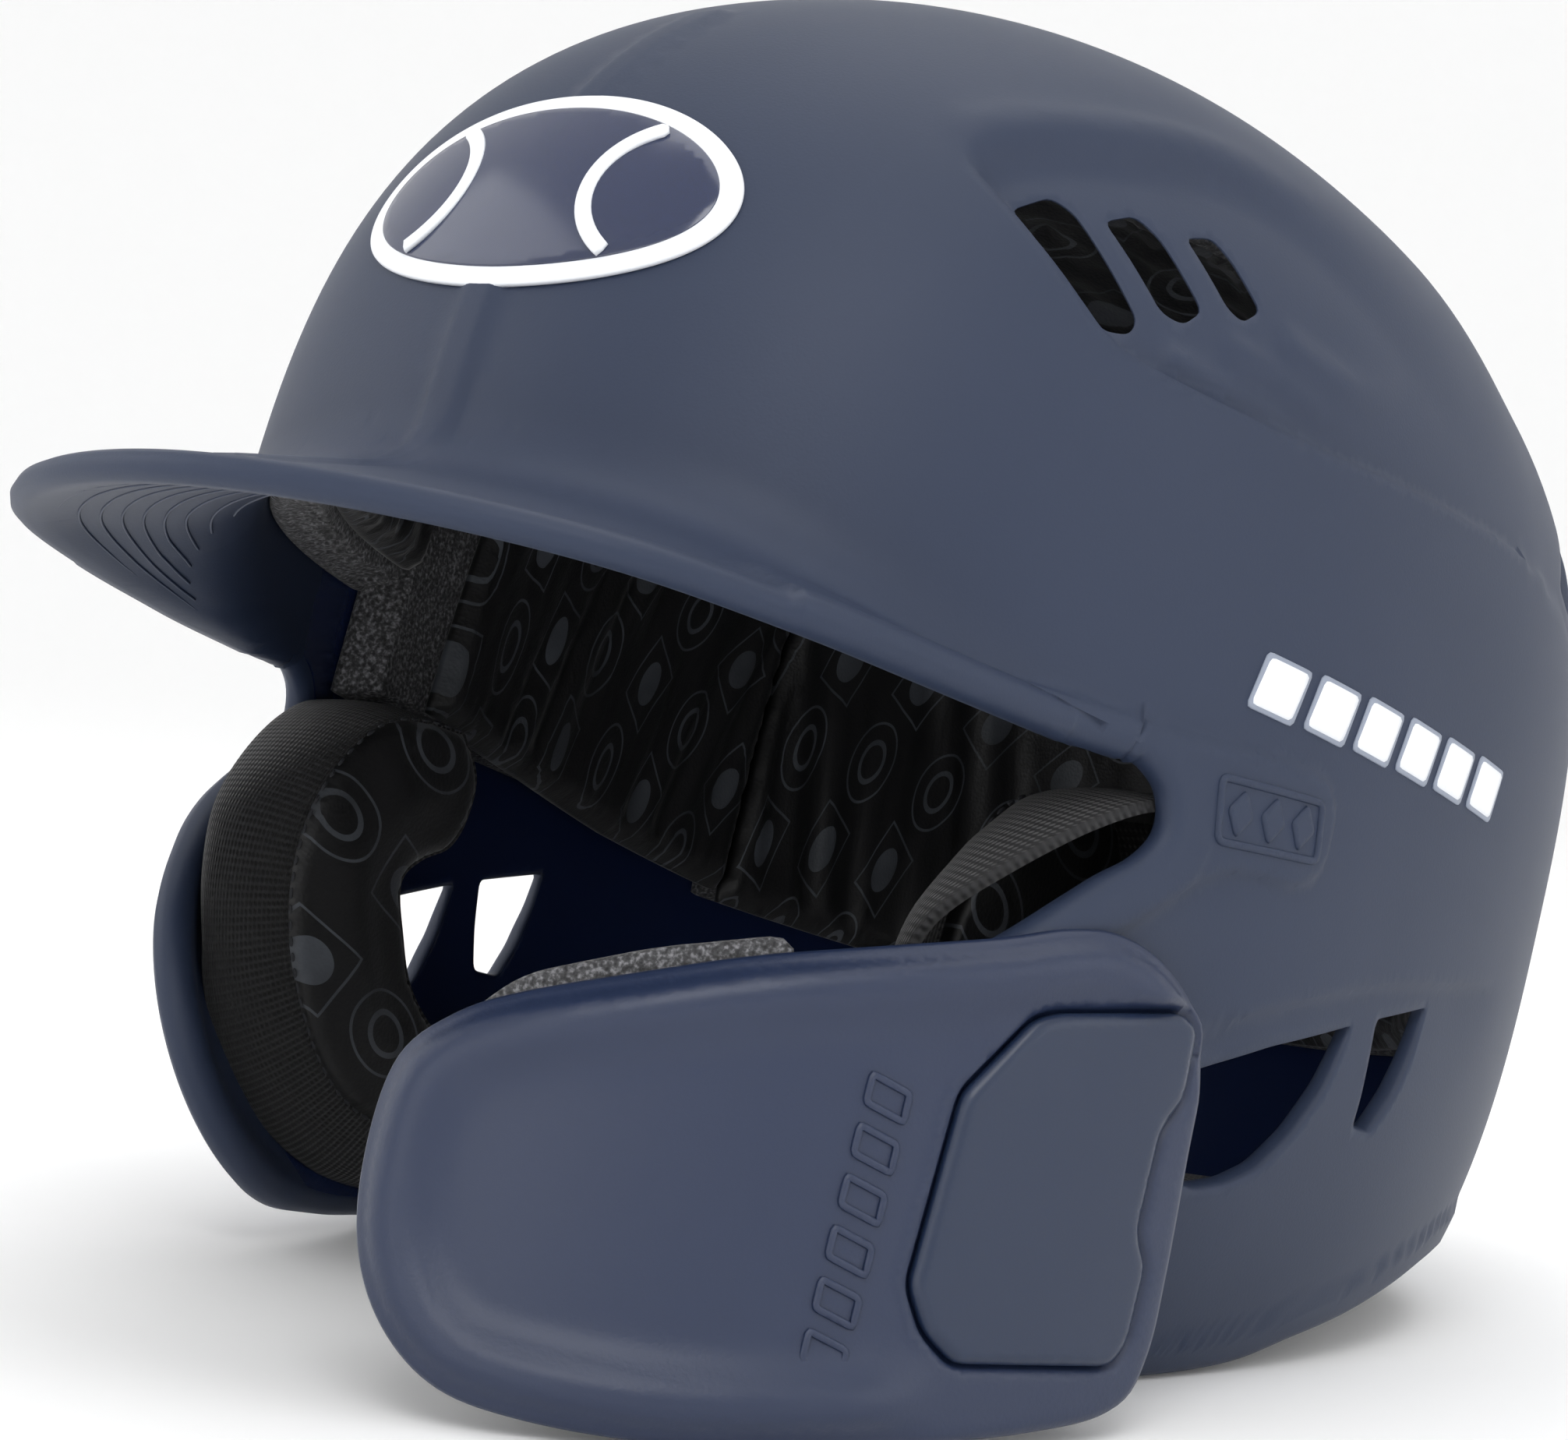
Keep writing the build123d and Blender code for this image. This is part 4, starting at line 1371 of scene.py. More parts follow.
# ---- Badge and side marks -----------------------------------------------------------------------
@dataclass
class BrowBadge:
    """Glossy oval badge in a white ring, with a plain ball seam drawn on it."""

    half_width: float = 37.0
    half_height: float = 19.0
    ring: float = 3.2
    height: float = 34.0
    tilt: float = math.radians(16.0)
    stand: float = 0.9
    seam_turn: float = 0.95          # half turn of a seam's arc, in radians
    seam_centre: float = 31.0
    seam_reach: tuple = (18.0, 14.5)
    seam_half: float = 1.1
    seam_lift: tuple = (1.0, 1.9)

    def oval(self, inset: float) -> np.ndarray:
        """Outline of the oval, drawn in by inset."""
        turn = np.linspace(0, 2 * math.pi, 180, endpoint=False)
        return np.stack([(self.half_width - inset) * np.cos(turn),
                         (self.half_height - inset) * np.sin(turn)], 1)

    def on_dome(self, flat: np.ndarray, lift: float) -> np.ndarray:
        """Places badge points on the dome.

        Args:
            flat: Rows across and up on the badge's own plane.
            lift: Millimetres off the dome.

        Returns:
            Rows of x, y, z.
        """
        out = np.array([0.0, -math.cos(self.tilt), math.sin(self.tilt)])
        up = np.array([0.0, math.sin(self.tilt), math.cos(self.tilt)])
        start = np.array([0.0, -60.0, self.height]) + flat[:, :1] * [1.0, 0.0, 0.0] + flat[:, 1:] * up
        low, high = np.zeros(len(flat)), np.full(len(flat), 160.0)
        for _ in range(40):
            middle = (low + high) / 2
            point = start + middle[:, None] * out
            depth = np.where(point[:, 2] > 0, DOME.crown + lift, DOME.skirt + lift)
            length = np.where(point[:, 1] < 0, DOME.front + lift, DOME.rear + lift)
            value = (np.abs(point[:, 0] / (DOME.half_width + lift)) ** DOME.plan_power
                     + np.abs(point[:, 1] / length) ** DOME.plan_power
                     + np.abs(point[:, 2] / depth) ** DOME.side_power)
            low, high = np.where(value < 1, middle, low), np.where(value < 1, high, middle)
        return start + low[:, None] * out

    def slab(self, loops: list, low: float, high: float, crown: float = 0.0) -> Skin:
        """A thin raised patch between two outlines.

        Args:
            loops: Outer outline, then any holes.
            low: Lift of its underside.
            high: Lift of its top.
            crown: Extra lift in its middle.

        Returns:
            The patch as a skin.
        """
        flat, triangles = Sheet(loops, coarse=2.6, fine=1.4, band=3.0).cut()
        top = self.on_dome(flat, high)
        if crown:
            share = (flat[:, 0] / self.half_width) ** 2 + (flat[:, 1] / self.half_height) ** 2
            top = top + unit(top - self.on_dome(flat, low)) * (crown * np.clip(1 - share, 0, 1))[:, None]
        return even_skin(top, self.on_dome(flat, low), triangles, flat, 0.6, rows=2)

    def build(self, finishes: Finishes) -> None:
        """Builds the badge face, its ring and the ball seam."""
        face = self.slab([self.oval(self.ring)], 0.0, self.stand, crown=0.7)
        piece = make_piece("badge_face", face, [finishes.badge, finishes.badge], "helmet")
        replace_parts(piece, "brow_badge")
        ring = self.slab([self.oval(0.0), self.oval(self.ring)[::-1]], 0.0, self.stand)
        piece = make_piece("badge_ring", ring, [finishes.white, finishes.white], "helmet")
        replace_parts(piece, "brow_badge_ring")
        patches = []
        for side in (1, -1):
            turn = np.linspace(-self.seam_turn, self.seam_turn, 40)
            across = side * (self.seam_centre - self.seam_reach[0] * np.cos(turn))
            arc = np.stack([across, self.seam_reach[1] * np.sin(turn)], 1)
            normal = unit(np.stack([-np.gradient(arc[:, 1]), np.gradient(arc[:, 0])], 1))
            loop = np.vstack([arc + normal * self.seam_half, (arc - normal * self.seam_half)[::-1]])
            patches.append(self.slab([resample(loop, 1.2, closed=True)], *self.seam_lift))
        make_piece("badge_seams", reduce(Skin.joined, patches), [finishes.white, finishes.white],
                   "helmet")


@dataclass
class SideMarks:
    """Six plain slanted blocks on each side, white with a grey edge."""

    count: int = 6
    pitch: float = 13.0
    half_height: float = 4.0
    width: float = 9.0
    slant: float = 2.0
    first: tuple = (-45.0, 6.0)      # where the row starts, then how much each block climbs
    climb: float = 0.6
    edge_width: float = 0.7

    def block(self, i: int, grow: float, lift: float) -> Skin:
        """One slanted block, on the wearer's left.

        Args:
            i: Its place in the row, from the front.
            grow: How far its outline is pushed out.
            lift: Height of its face over the shell.

        Returns:
            The block as a skin.
        """
        y, z = self.first[0] + self.pitch * i, self.first[1] + self.climb * i
        corners = [(y - grow, z - self.half_height - grow),
                   (y + self.width + grow, z - self.half_height - grow),
                   (y + self.width + self.slant + grow, z + self.half_height + grow),
                   (y + self.slant - grow, z + self.half_height + grow)]
        outline = DOME.chart_of_side(rounded(corners, 0.9, 0.8))
        flat, triangles = Sheet([outline], coarse=2.4, fine=1.2, band=2.0).cut()
        base, normal = DOME.surface(flat), DOME.normals(flat)
        return even_skin(base + normal * lift, base - normal * 0.2, triangles, flat, 0.4, rows=1)

    def build(self, finishes: Finishes) -> None:
        """Builds the marks on both sides.

        Args:
            finishes: The helmet's finishes.
        """
        for side in Side:
            for name, grow, lift, finish in (("edge", self.edge_width, 0.3, finishes.grey),
                                             ("face", 0.0, 0.42, finishes.white)):
                row = reduce(Skin.joined, [self.block(i, grow, lift) for i in range(self.count)])
                piece = make_piece(f"side_mark_{name}_{side.word}", row.on(side), [finish, finish],
                                   "helmet")
                if name == "face":
                    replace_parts(piece, f"side_blocks_{side.word}")


# ---- Liner ---------------------------------------------------------------------------------------
@dataclass
class DomePad:
    """A foam or cloth pad that follows the inside of the dome."""

    name: str
    node: str
    outline: np.ndarray
    back: float
    face: float
    edge: float
    folds: float = 0.0
    fold_pitch: float = 21.0

    def build(self, material: bpy.types.Material, slot: str, side: Side = Side.LEFT,
              fill: float = 0.8) -> bpy.types.Object:
        """Builds the pad.

        Args:
            material: Its finish.
            slot: The record's material slot; not used.
            side: The wearer's side; a pad across the middle counts as left.
            fill: How tightly it is filled; not used.

        Returns:
            The pad piece.
        """
        flat, triangles = Sheet([self.outline], coarse=3.6, fine=2.0, band=7.0).cut()
        base, normal = DOME.plain(flat)
        inside = edge_gap(flat, self.outline)
        lip = np.clip(inside / self.edge, 0.0, 1.0)
        round_off = np.sqrt(1 - (1 - lip) ** 2)
        depth = self.back + (self.face - self.back) * (0.35 + 0.65 * round_off)
        if self.folds:
            turn = np.arctan2(flat[:, 0], -flat[:, 1])
            run = np.hypot(flat[:, 0], flat[:, 1])
            wave = np.sin(turn * 108 / self.fold_pitch * 2 * math.pi + 0.035 * run)
            crush = self.folds * (0.55 * wave ** 3 + 0.3 * np.sin(turn * 47 + run * 0.11))
            depth = depth - np.abs(crush) * lip
        top = base - normal * depth[:, None]
        bottom = base - normal * self.back
        skin = even_skin(top, bottom, triangles[:, ::-1], flat, 0.35, rows=3)
        piece = make_piece(self.name, skin.on(side), [material, material], "helmet")
        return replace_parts(piece, self.node)


@dataclass
class Liner:
    """Grey impact foam and printed comfort pads inside the dome."""

    front_end: float = -50.0
    rear_end: float = 62.0
    seam: float = 1.0
    top: float = 47.0
    brow: float = 6.0
    side: float = -13.0
    nape: float = -28.0
    crown: float = 84.0
    inset: float = 5.0

    def band(self, corners: list, step: float = 2.4) -> np.ndarray:
        """Closed chart outline of a side-view outline on the wearer's left."""
        loop = np.asarray(corners, float)
        return resample(DOME.chart_of_side(resample(loop, 2.0, closed=True)), step, closed=True)

    def round_end(self, y_edge: float, low: float, high: float, rear: bool) -> np.ndarray:
        """Chart outline of a pad that goes round the front or the rear.

        Args:
            y_edge: Where it ends on each side.
            low: Height of its lower edge.
            high: Height of its upper edge.
            rear: Whether it is at the rear.

        Returns:
            The closed outline.
        """
        rise = np.linspace(low, high, 24)
        side = DOME.chart_of_side(np.stack([np.full(24, y_edge), rise], 1))
        middle = math.pi if rear else 0.0
        turn_high = math.atan2(side[-1, 0], -side[-1, 1])
        turn_low = math.atan2(side[0, 0], -side[0, 1])
        top_turns = np.linspace(turn_high, middle, 40)
        low_turns = np.linspace(middle, turn_low, 40)
        top = DOME.chart(top_turns, np.full(40, DOME.run_of_height(high)))
        bottom = DOME.chart(low_turns, np.full(40, DOME.run_of_height(low)))
        half = np.vstack([bottom, side, top])
        other = (half * [-1.0, 1.0])[::-1]
        loop = np.vstack([half, other])
        gaps = np.linalg.norm(np.roll(loop, -1, axis=0) - loop, axis=1)
        return resample(loop[gaps > 1e-3], 2.4, closed=True)

    def build(self, finishes: Finishes) -> None:
        """Builds the foam and the pads.

        Args:
            finishes: The helmet's finishes.
        """
        foam = {"back": 3.9, "face": FOAM_FACE, "edge": 1.5}
        pad = {"back": FOAM_FACE, "face": PAD_FACE, "edge": 7.0, "folds": 2.4}
        front = self.round_end(self.front_end - self.seam, self.brow, self.top, False)
        rear_foam = self.round_end(self.rear_end + self.seam, self.nape + 6.0, self.top, True)
        DomePad("foam_front", "base_foam_front", front, **foam).build(finishes.foam, "impact_foam")
        DomePad("foam_rear", "base_foam_rear", rear_foam, **foam).build(finishes.foam, "impact_foam")
        turns = np.linspace(0, 2 * math.pi, 160, endpoint=False)
        crown = DOME.chart(turns, np.full(160, DOME.run_of_height(self.crown)))
        DomePad("foam_crown", "base_foam_crown", crown, **foam).build(finishes.foam, "impact_foam")
        ends = (self.front_end + self.seam, self.rear_end - self.seam)
        side = self.band([(ends[0], self.side), (ends[0], self.top), (ends[1], self.top),
                          (ends[1], self.side)])
        inner = (self.front_end + 19.0, self.rear_end - 0.6)
        side_pad = self.band([(inner[0], self.side + 2), (inner[0] + 3, self.top - 5),
                              (inner[1], self.top - 5), (inner[1], self.side - 9), (28, self.side - 6),
                              (0, self.side - 2), (-18, self.side)])
        for which in Side:
            DomePad(f"foam_{which.word}", f"base_foam_{which.word}", side, **foam).build(
                finishes.foam, "impact_foam", which)
            DomePad(f"pad_{which.word}", f"comfort_pad_{which.word}", side_pad, **pad).build(
                finishes.cloth, "pad_fabric", which, 0.6)
        front = self.round_end(self.front_end - 3.0, self.brow + self.inset, self.top - self.inset, False)
        rear = self.round_end(self.rear_end + 0.6, self.nape + 4.0, self.top - self.inset, True)
        crown = DOME.chart(turns, np.full(160, DOME.run_of_height(self.crown + 6.0)))
        for name, outline in (("front", front), ("rear", rear), ("crown", crown)):
            DomePad(f"pad_{name}", f"comfort_pad_{name}", outline, **pad).build(
                finishes.cloth, "pad_fabric", fill=0.6)


# ---- Ear pads ---------------------------------------------------------------------------------
@dataclass
class EarPad:
    """A C-shaped ear pad: a printed cloth face, sewn to a wide ribbed knit band."""

    face: float = 66.5
    crown: float = 6.0
    outer_points: int = 130          # points along the outer edge, the tail and the inner edge
    tail_points: int = 14
    inner_points: int = 84
    stitch_pitch: float = 2.8
    stitch: float = 2.0
    thread: float = 0.7
    seam_edge: list = field(default_factory=lambda: [
        (-36, -15.5), (-48, -16.5), (-57, -20), (-64, -28), (-68, -37), (-69, -46), (-67.5, -55),
        (-63.5, -64), (-57, -73), (-48.5, -81), (-38, -86), (-20, -88.5), (-4, -87), (13, -83)])
    wall_edge: list = field(default_factory=lambda: [
        (-36, -13.5), (-52, -16), (-63, -22), (-74, -32), (-82.5, -43), (-84, -53), (-82.5, -62),
        (-78.5, -73), (-70, -84), (-56, -93), (-40, -98), (-22, -98), (-4, -95), (14, -88)])
    tail_edge: list = field(default_factory=lambda: [(13, -83), (17.5, -74), (13, -65)])
    inner_edge: list = field(default_factory=lambda: [
        (13, -65), (-2, -67), (-18, -69.5), (-31, -63), (-38, -53), (-41.5, -45), (-38, -40),
        (-32, -36), (-29.5, -30), (-30, -22), (-36, -15.5)])

    def stretch(self, points: list, count: int) -> np.ndarray:
        """A smooth line with a fixed number of points, its last left out.

        Args:
            points: Corner points that the line passes through.
            count: How many points it gets.

        Returns:
            Rows along the line.
        """
        line = flowing(points, 0.4)
        marks = np.linspace(0, len(line) - 1, count + 1)[:-1]
        return np.stack([np.interp(marks, np.arange(len(line)), column) for column in line.T], 1)

    def loops(self) -> tuple[np.ndarray, np.ndarray]:
        """Draws the pad's two edges, point for point.

        Returns:
            The seam round the face and the edge along the shell.
        """
        tail = self.stretch(self.tail_edge, self.tail_points)
        inner = self.stretch(self.inner_edge, self.inner_points)
        seam = np.vstack([self.stretch(self.seam_edge, self.outer_points), tail, inner])
        wall = np.vstack([self.stretch(self.wall_edge, self.outer_points), tail, inner])
        return seam, wall

    def wall_at(self, rows: np.ndarray) -> np.ndarray:
        """How far out the shell's inner wall stands at side-view points."""
        point, normal = DOME.plain(DOME.chart_of_side(rows))
        return (point - normal * (WALL + 0.5))[:, 0]

    def build(self, finishes: Finishes, side: Side) -> None:
        """Builds the face and the band of one pad.

        Args:
            finishes: The helmet's finishes.
            side: The wearer's side.
        """
        seam, wall = self.loops()
        flat, triangles = Sheet([seam], coarse=2.4, fine=1.5, band=6.0).cut()
        inside = edge_gap(flat, seam)
        lip = np.clip(inside / self.crown, 0.0, 1.0)
        stand = self.face + 3.0 * (1 - np.sqrt(1 - (1 - lip) ** 2))
        stand -= 1.6 * ramp(inside, 4.0, 14.0)
        stand += 0.35 * np.sin(flat[:, 0] * 0.31 + flat[:, 1] * 0.17) * lip
        top = np.column_stack([stand, flat])
        bottom = np.column_stack([np.full(len(flat), self.face + 6.0), flat])
        skin = even_skin(top, bottom, triangles[:, ::-1], flat, 0.1, rows=1)
        piece = make_piece(f"ear_pad_face_{side.word}", skin.on(side), [finishes.cloth, finishes.cloth],
                           "helmet")
        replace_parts(piece, f"ear_pad_{side.word}")
        band = self.band(seam, wall).on(side)
        piece = make_piece(f"ear_band_{side.word}", band, [finishes.knit, finishes.knit], "helmet")
        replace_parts(piece, f"ear_pad_band_{side.word}")
        # Stitches run along the outer edge, where the face meets the band.
        line = np.column_stack([np.full(len(seam), self.face + 1.4), seam])[:self.outer_points]
        line = line * [float(side.value), 1.0, 1.0]
        sizes = {"Pitch": self.stitch_pitch, "Stitch": self.stitch, "Thread": self.thread}
        sewing = LineWork(f"ear_pad_stitches_{side.word}", sizes, finishes.thread)
        sewing.lay(sewing.stitches(), [line], "helmet")

    def band(self, seam: np.ndarray, wall: np.ndarray) -> Skin:
        """The knit band round the pad, from the face's seam to the shell.

        Args:
            seam: The seam round the face.
            wall: The band's edge along the shell.

        Returns:
            The band as a closed skin.
        """
        count, rows = len(seam), 16
        along = np.roll(wall, -1, axis=0) - np.roll(wall, 1, axis=0)
        area = np.sum(wall[:, 0] * np.roll(wall[:, 1], -1) - np.roll(wall[:, 0], -1) * wall[:, 1])
        out = unit(np.stack([along[:, 1], -along[:, 0]], 1)) * math.copysign(1.0, area)
        start = np.full(count, self.face + 2.2)
        end = np.maximum(self.wall_at(wall), start + 3.0)
        walk = np.concatenate([[0.0], np.cumsum(np.linalg.norm(np.diff(wall, axis=0), axis=1))])
        width = np.linalg.norm(wall - seam, axis=1)
        full = np.clip(width / 8.0, 0.25, 1.0)
        points, cloth = [], []
        for layer in (0.0, -1.6):
            for k in range(rows + 1):
                turn = 0.5 * math.pi * k / rows
                over = (1 - math.cos(turn)) * full + (k / rows) * (1 - full)
                across = math.sin(turn) * full + (k / rows) * (1 - full)
                swell_out = 1.2 * math.sin(2 * turn)
                x = start + (end - start) * over
                edge = seam + (wall - seam) * across[:, None] + out * (swell_out + layer)
                points.append(np.column_stack([x - (layer * 0.4), edge]))
                cloth.append(np.column_stack([walk, np.full(count, 1.6 * k)]))
        faces = []
        shift = (rows + 1) * count
        for i in range(count):
            j = (i + 1) % count
            for k in range(rows):
                a, b = k * count + i, k * count + j
                faces.append((a, b, b + count, a + count))
                faces.append((a + shift, a + count + shift, b + count + shift, b + shift))
            faces.append((j, i, i + shift, j + shift))
            last = rows * count
            faces.append((i + last, j + last, j + last + shift, i + last + shift))
        if area < 0:
            faces = [tuple(reversed(face)) for face in faces]
        return Skin(np.vstack(points), faces, np.zeros(len(faces), int), np.vstack(cloth))


# ---- Jaw guard ----------------------------------------------------------------------------------
@dataclass
class JawGuard:
    """The bolted jaw guard, its foam and its snap-on screw cover."""

    half_width: float = 105.0
    length: float = 118.0
    centre_y: float = -22.0
    facing: float = math.radians(42.0)
    wall: float = 4.0
    pocket: float = 2.2
    mark_count: int = 6
    mark_top: float = -69.0
    mark_pitch: float = 7.4
    mark_line: float = 0.9
    cover_grow: float = 0.75         # the cover's edge inside its seat
    foam_depth: float = 8.0
    outline: list = field(default_factory=lambda: [
        (-79.5, -84), (-74, -77), (-66, -72), (-50, -65), (-35, -58.8), (-17, -52.5), (0, -46.5),
        (10, -42.3), (18, -40.6), (26, -42), (33, -46.5), (36.5, -53), (37.5, -68), (38.5, -84),
        (38.5, -97), (35, -105), (22, -111), (3, -117), (-16, -122), (-34, -125.7), (-52, -127),
        (-64, -125.5), (-73, -119), (-78.5, -109), (-80.5, -96)])
    cover_outline: list = field(default_factory=lambda: [
        (-2, -68.5), (6.5, -55), (10, -53), (31, -46.8), (34.8, -48.5), (35.3, -59.5), (32.5, -65),
        (32.5, -80.5), (35.4, -84.5), (35.3, -96.5), (33, -100.8), (7, -106.5), (1, -103), (-3, -97)])

    def surface(self, flat: np.ndarray, grow: float = 0.0) -> np.ndarray:
        """Points on the guard's curve.

        Args:
            flat: Rows across (to the rear) and up.
            grow: Millimetres outside the curve.

        Returns:
            Rows of x, y, z.
        """
        across_dir = (math.sin(self.facing), math.cos(self.facing))
        out_dir = (math.cos(self.facing), -math.sin(self.facing))
        a, b = self.half_width + grow, self.length + grow
        px = flat[:, 0] * across_dir[0]
        py = flat[:, 0] * across_dir[1] - self.centre_y
        qa = (out_dir[0] / a) ** 2 + (out_dir[1] / b) ** 2
        qb = 2 * (px * out_dir[0] / a ** 2 + py * out_dir[1] / b ** 2)
        qc = (px / a) ** 2 + (py / b) ** 2 - 1
        reach = (-qb + np.sqrt(np.maximum(qb ** 2 - 4 * qa * qc, 0.0))) / (2 * qa)
        x = px + reach * out_dir[0]
        y = py + reach * out_dir[1] + self.centre_y
        return np.stack([x, y, flat[:, 1]], 1)

    def normals(self, points: np.ndarray) -> np.ndarray:
        """Outward directions on the guard's curve.

        Args:
            points: Rows of x, y, z on the curve.

        Returns:
            Rows of length one.
        """
        x = points[:, 0] / self.half_width ** 2
        y = (points[:, 1] - self.centre_y) / self.length ** 2
        return unit(np.stack([x, y, np.zeros(len(x))], 1))

    def marks(self) -> list:
        """Draws the raised slanted blocks beside the cover.

        Returns:
            The outline of each block.
        """
        blocks = []
        for i in range(self.mark_count):
            z = self.mark_top - self.mark_pitch * i
            blocks.append(rounded([(-15.5, z), (-8.5, z - 1.5), (-8.5, z - 6.5), (-15.5, z - 5)], 1.0, 0.8))
        return blocks

    def build(self, finishes: Finishes) -> None:
        """Builds the guard, the cover and the foam.

        Args:
            finishes: The helmet's finishes.
        """
        loop = flowing(self.outline, 1.4, closed=True)
        seat = rounded(self.cover_outline, 2.0, 1.2)
        lines = []
        for gap in (-0.35, 0.25):
            ring = beside_line(np.vstack([seat, seat[:1]]), gap)
            lines += OuterShell.clear_of(ring, [loop])
        flat, triangles = Sheet([loop], lines, coarse=2.6, fine=1.1, band=3.0).cut()
        edge = edge_gap(flat, loop)
        in_seat = depth_inside(flat, seat)
        rear = ramp(flat[:, 0], -6, 8)
        rim = swell(edge, 4.6, 3.4) * 2.3 - 1.0 * ramp(edge, 7.5, 13) - 1.2 * (1 - ramp(edge, 0.0, 2.2))
        rise = rim * (1 - rear * ramp(-flat[:, 1], 52, 60))
        rise = rise * (1 - ramp(in_seat, -1.5, 0.0))
        rise = rise - self.pocket * ramp(in_seat, -0.35, 0.15)
        base = self.surface(flat)
        normal = self.normals(base)
        top = base + normal * rise[:, None]
        bottom = base - normal * self.wall
        skin = even_skin(top, bottom, triangles, flat, 0.8)
        piece = make_piece("guard_skin", skin, [finishes.guard, finishes.guard], "guard")
        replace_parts(piece, "jaw_guard")
        self.build_marks(finishes)
        self.build_cover(finishes, seat)
        self.build_foam(finishes)

    def build_marks(self, finishes: Finishes) -> None:
        """Builds the raised outlines of plain slanted blocks beside the cover.

        Args:
            finishes: The helmet's finishes.
        """
        patches = []
        for block in self.marks():
            hole = drawn_in(block, self.mark_line)
            flat, triangles = Sheet([block, hole], coarse=1.5, fine=0.8, band=1.5).cut()
            base = self.surface(flat)
            normal = self.normals(base)
            patches.append(even_skin(base - normal * 0.45, base - normal * 1.3, triangles, flat, 0.3, rows=2))
        make_piece("guard_marks", reduce(Skin.joined, patches), [finishes.guard, finishes.guard],
                   "guard")

    def build_cover(self, finishes: Finishes, seat: np.ndarray) -> None:
        """Builds the cover that snaps over the screws.

        Args:
            finishes: The helmet's finishes.
            seat: Outline of its seat.
        """
        loop = drawn_in(seat, self.cover_grow)
        flat, triangles = Sheet([loop], coarse=3.0, fine=0.9, band=3.0).cut()
        base = self.surface(flat)
        normal = self.normals(base)
        inside = edge_gap(flat, loop)
        top = base + normal * (0.1 + 0.75 * ramp(inside, 0.0, 1.1))[:, None]
        skin = even_skin(top, base - normal * 1.6, triangles, flat, 0.15, rows=2)
        piece = make_piece("screw_cover", skin, [finishes.cover, finishes.cover], "cover")
        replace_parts(piece, "guard_cover")

    def build_foam(self, finishes: Finishes) -> None:
        """Builds the foam behind the guard."""
        outline = rounded([(-79.5, -95), (-77, -80), (-67.5, -68.5), (-50, -60.5), (-30, -53.5),
                           (-30, -119), (-46, -122), (-64, -121), (-75, -112)], 4.0, 1.8)
        flat, triangles = Sheet([outline], coarse=3.0, fine=1.6, band=5.0).cut()
        base = self.surface(flat)
        normal = self.normals(base)
        inside = edge_gap(flat, outline)
        rough = 0.25 * np.sin(flat[:, 0] * 2.1) * np.sin(flat[:, 1] * 2.7)
        depth = self.wall + self.foam_depth * (0.6 + 0.4 * ramp(inside, 0, 3)) + rough
        skin = even_skin(base - normal * (self.wall + 0.1), base - normal * depth[:, None], triangles,
                         flat, 0.3)
        piece = make_piece("guard_foam", skin, [finishes.foam, finishes.foam], "guard")
        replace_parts(piece, "jaw_guard_foam")


# ---- Hardware that keeps its own shape -------------------------------------------------------------
def dress_hardware(finishes: Finishes) -> None:
    """Gives the screws, washers, grommets and inserts their finishes.

    Args:
        finishes: The helmet's finishes.
    """
    wanted = {"guard_screws": finishes.screw, "guard_washers": finishes.screw,
              "guard_grommets": finishes.rubber, "guard_inserts_left": finishes.insert,
              "spare_inserts_right": finishes.insert}
    for name, material in wanted.items():
        mesh = frame["nodes"][name].data
        mesh.materials.clear()
        mesh.materials.append(material)
        log.info("%s: dressed", name)


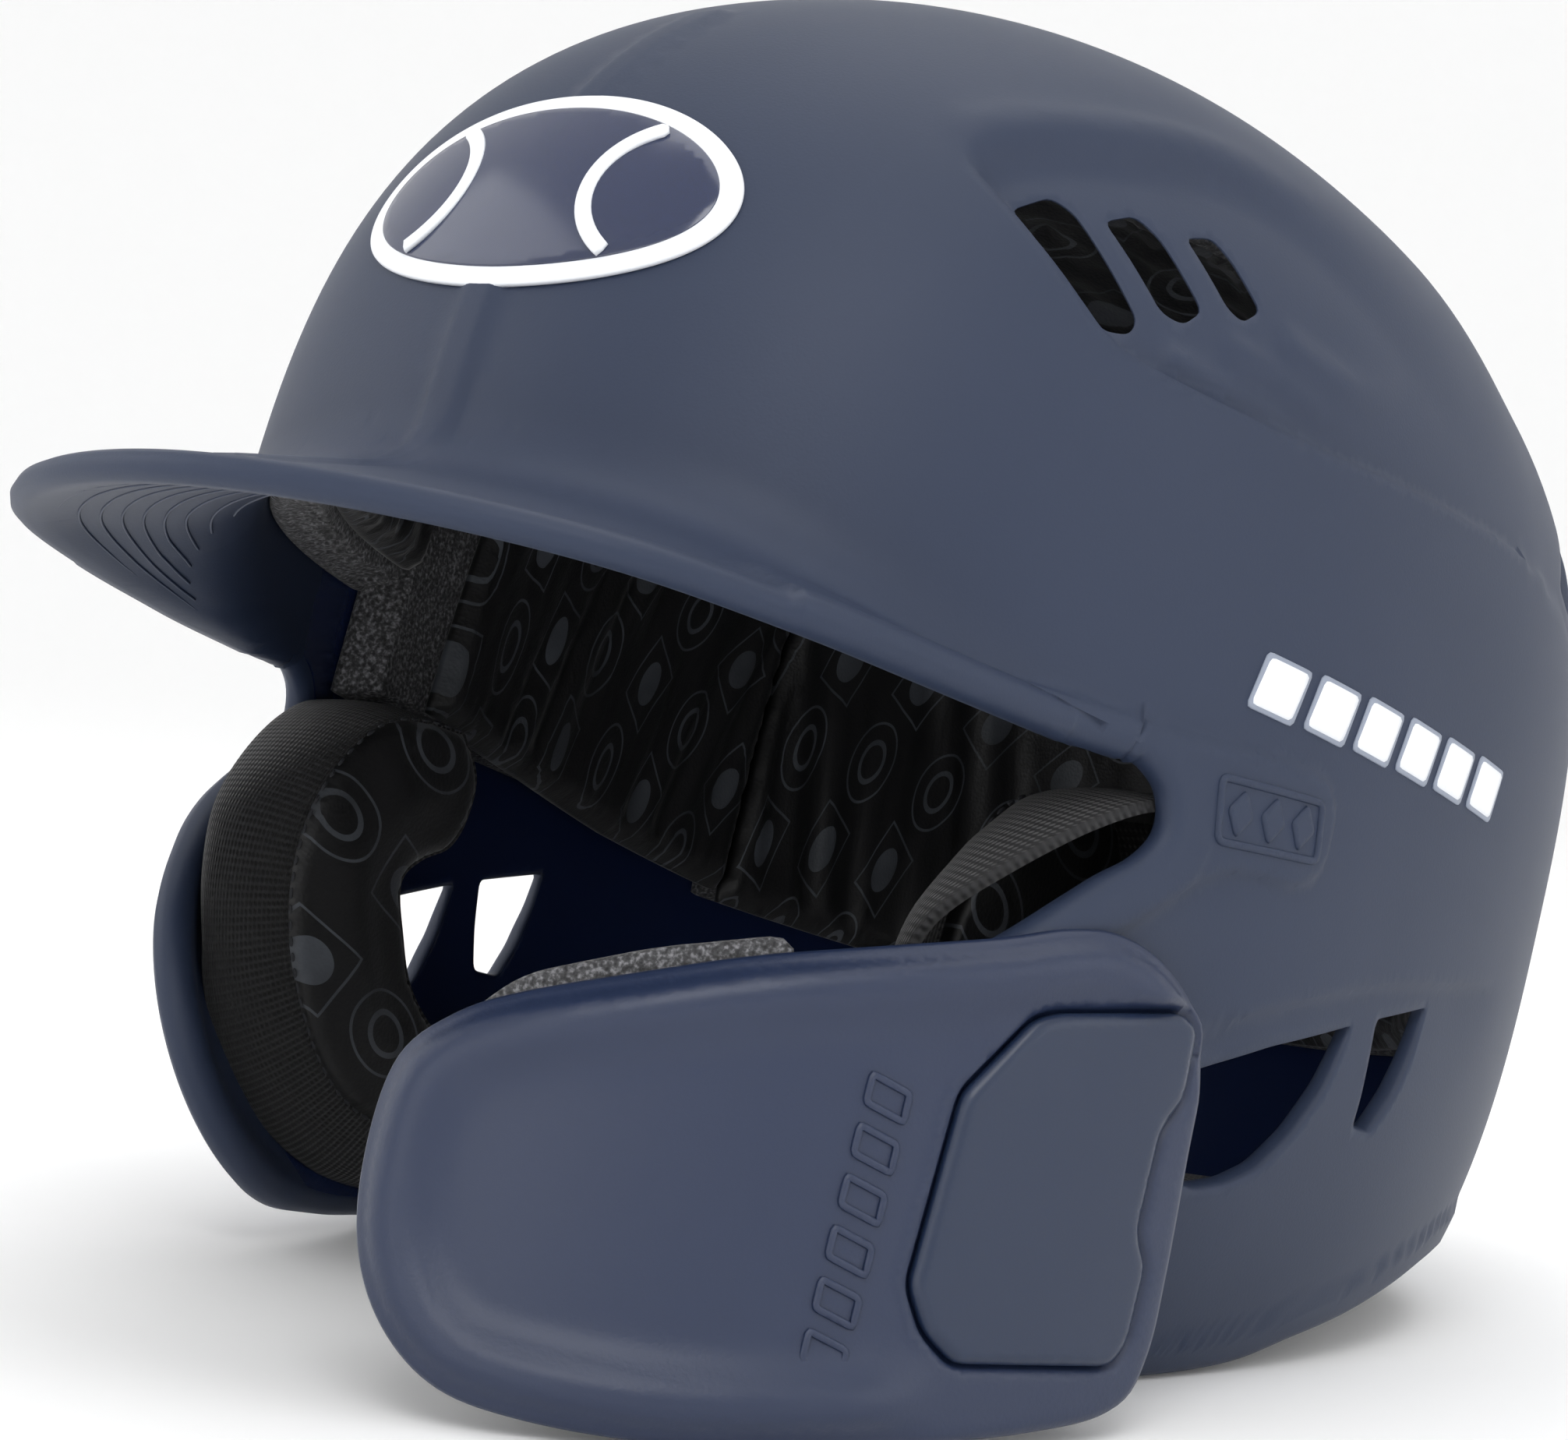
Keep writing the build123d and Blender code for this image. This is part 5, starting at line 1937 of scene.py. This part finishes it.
# ---- Studio -----------------------------------------------------------------------------------
@dataclass
class Studio:
    """Pale sweep, soft lights and the camera."""

    camera_place: tuple = (0.399734, -0.519392, 0.115775)
    camera_turn: tuple = (88.406429, -5.042421, 38.697572)
    lens: float = 86.54
    floor: str = "#FDFDFD"
    lights: tuple = (("key", (0.9, -1.1, 1.5), 1.0, 11.0), ("fill", (-1.4, -1.0, 0.9), 1.4, 6.0),
                     ("side", (1.7, 0.3, 0.8), 1.2, 4.0), ("low", (0.3, -1.5, 0.25), 0.9, 2.5),
                     ("top", (0.0, 0.3, 1.9), 1.6, 10.0))
    backdrop: float = 0.8            # strength of the light from all round

    def build(self) -> None:
        """Sets the stage."""
        self.sweep()
        self.camera()
        for light in self.lights:
            self.light(*light)
        world = bpy.data.worlds.new("studio")
        world.use_nodes = True
        world.node_tree.nodes["Background"].inputs[0].default_value = colour("#FFFFFF")
        world.node_tree.nodes["Background"].inputs[1].default_value = self.backdrop
        bpy.context.scene.world = world
        bpy.context.scene.view_settings.view_transform = "Standard"

    def sweep(self) -> None:
        """A floor that curves up into a wall all round the back."""
        rows = [(0.0, 0.0), (1.6, 0.0), (2.4, 0.12), (2.9, 0.55), (3.05, 1.2), (3.05, 3.5)]
        line = flowing(rows, 0.1)
        count = 96
        points = [(r * math.cos(2 * math.pi * i / count), r * math.sin(2 * math.pi * i / count), z)
                  for r, z in line[1:] for i in range(count)]
        points.append((0.0, 0.0, 0.0))
        centre = len(points) - 1
        faces = [(centre, i, (i + 1) % count) for i in range(count)]
        for k in range(len(line) - 2):
            for i in range(count):
                j = (i + 1) % count
                faces.append((k * count + i, (k + 1) * count + i, (k + 1) * count + j, k * count + j))
        mesh = bpy.data.meshes.new("sweep")
        mesh.from_pydata(points, [], faces)
        mesh.polygons.foreach_set("use_smooth", np.ones(len(mesh.polygons), bool))
        mesh.materials.append(Moulded("pale_paper", self.floor, self.floor, 0.9, grain=0.0).build())
        put("sweep", mesh)

    def camera(self) -> None:
        """The camera, where the helmet is seen from."""
        data = bpy.data.cameras.new("camera")
        data.lens = self.lens
        data.sensor_width = 36.0
        data.clip_end = 20.0
        item = put("camera", data)
        item.location = self.camera_place
        item.rotation_euler = [math.radians(turn) for turn in self.camera_turn]
        bpy.context.scene.camera = item

    @staticmethod
    def light(name: str, place: tuple, size: float, power: float) -> None:
        """Adds a soft light aimed at the helmet.

        Args:
            name: Its name.
            place: Where it stands, in metres.
            size: Width of its square face.
            power: Watts.
        """
        data = bpy.data.lights.new(name, "AREA")
        data.size = size
        data.energy = power
        item = put(name, data)
        item.location = place
        aim = Vector((0.0, 0.0, 0.1)) - Vector(place)
        item.rotation_euler = aim.to_track_quat("-Z", "Y").to_euler()


def main() -> None:
    """Builds the whole helmet and its studio."""
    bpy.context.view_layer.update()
    Studio().build()
    finishes = Finishes()
    OuterShell().build(finishes)
    BrowBadge().build(finishes)
    SideMarks().build(finishes)
    Liner().build(finishes)
    for side in Side:
        EarPad().build(finishes, side)
    JawGuard().build(finishes)
    dress_hardware(finishes)


if __name__ == "__main__":
    main()
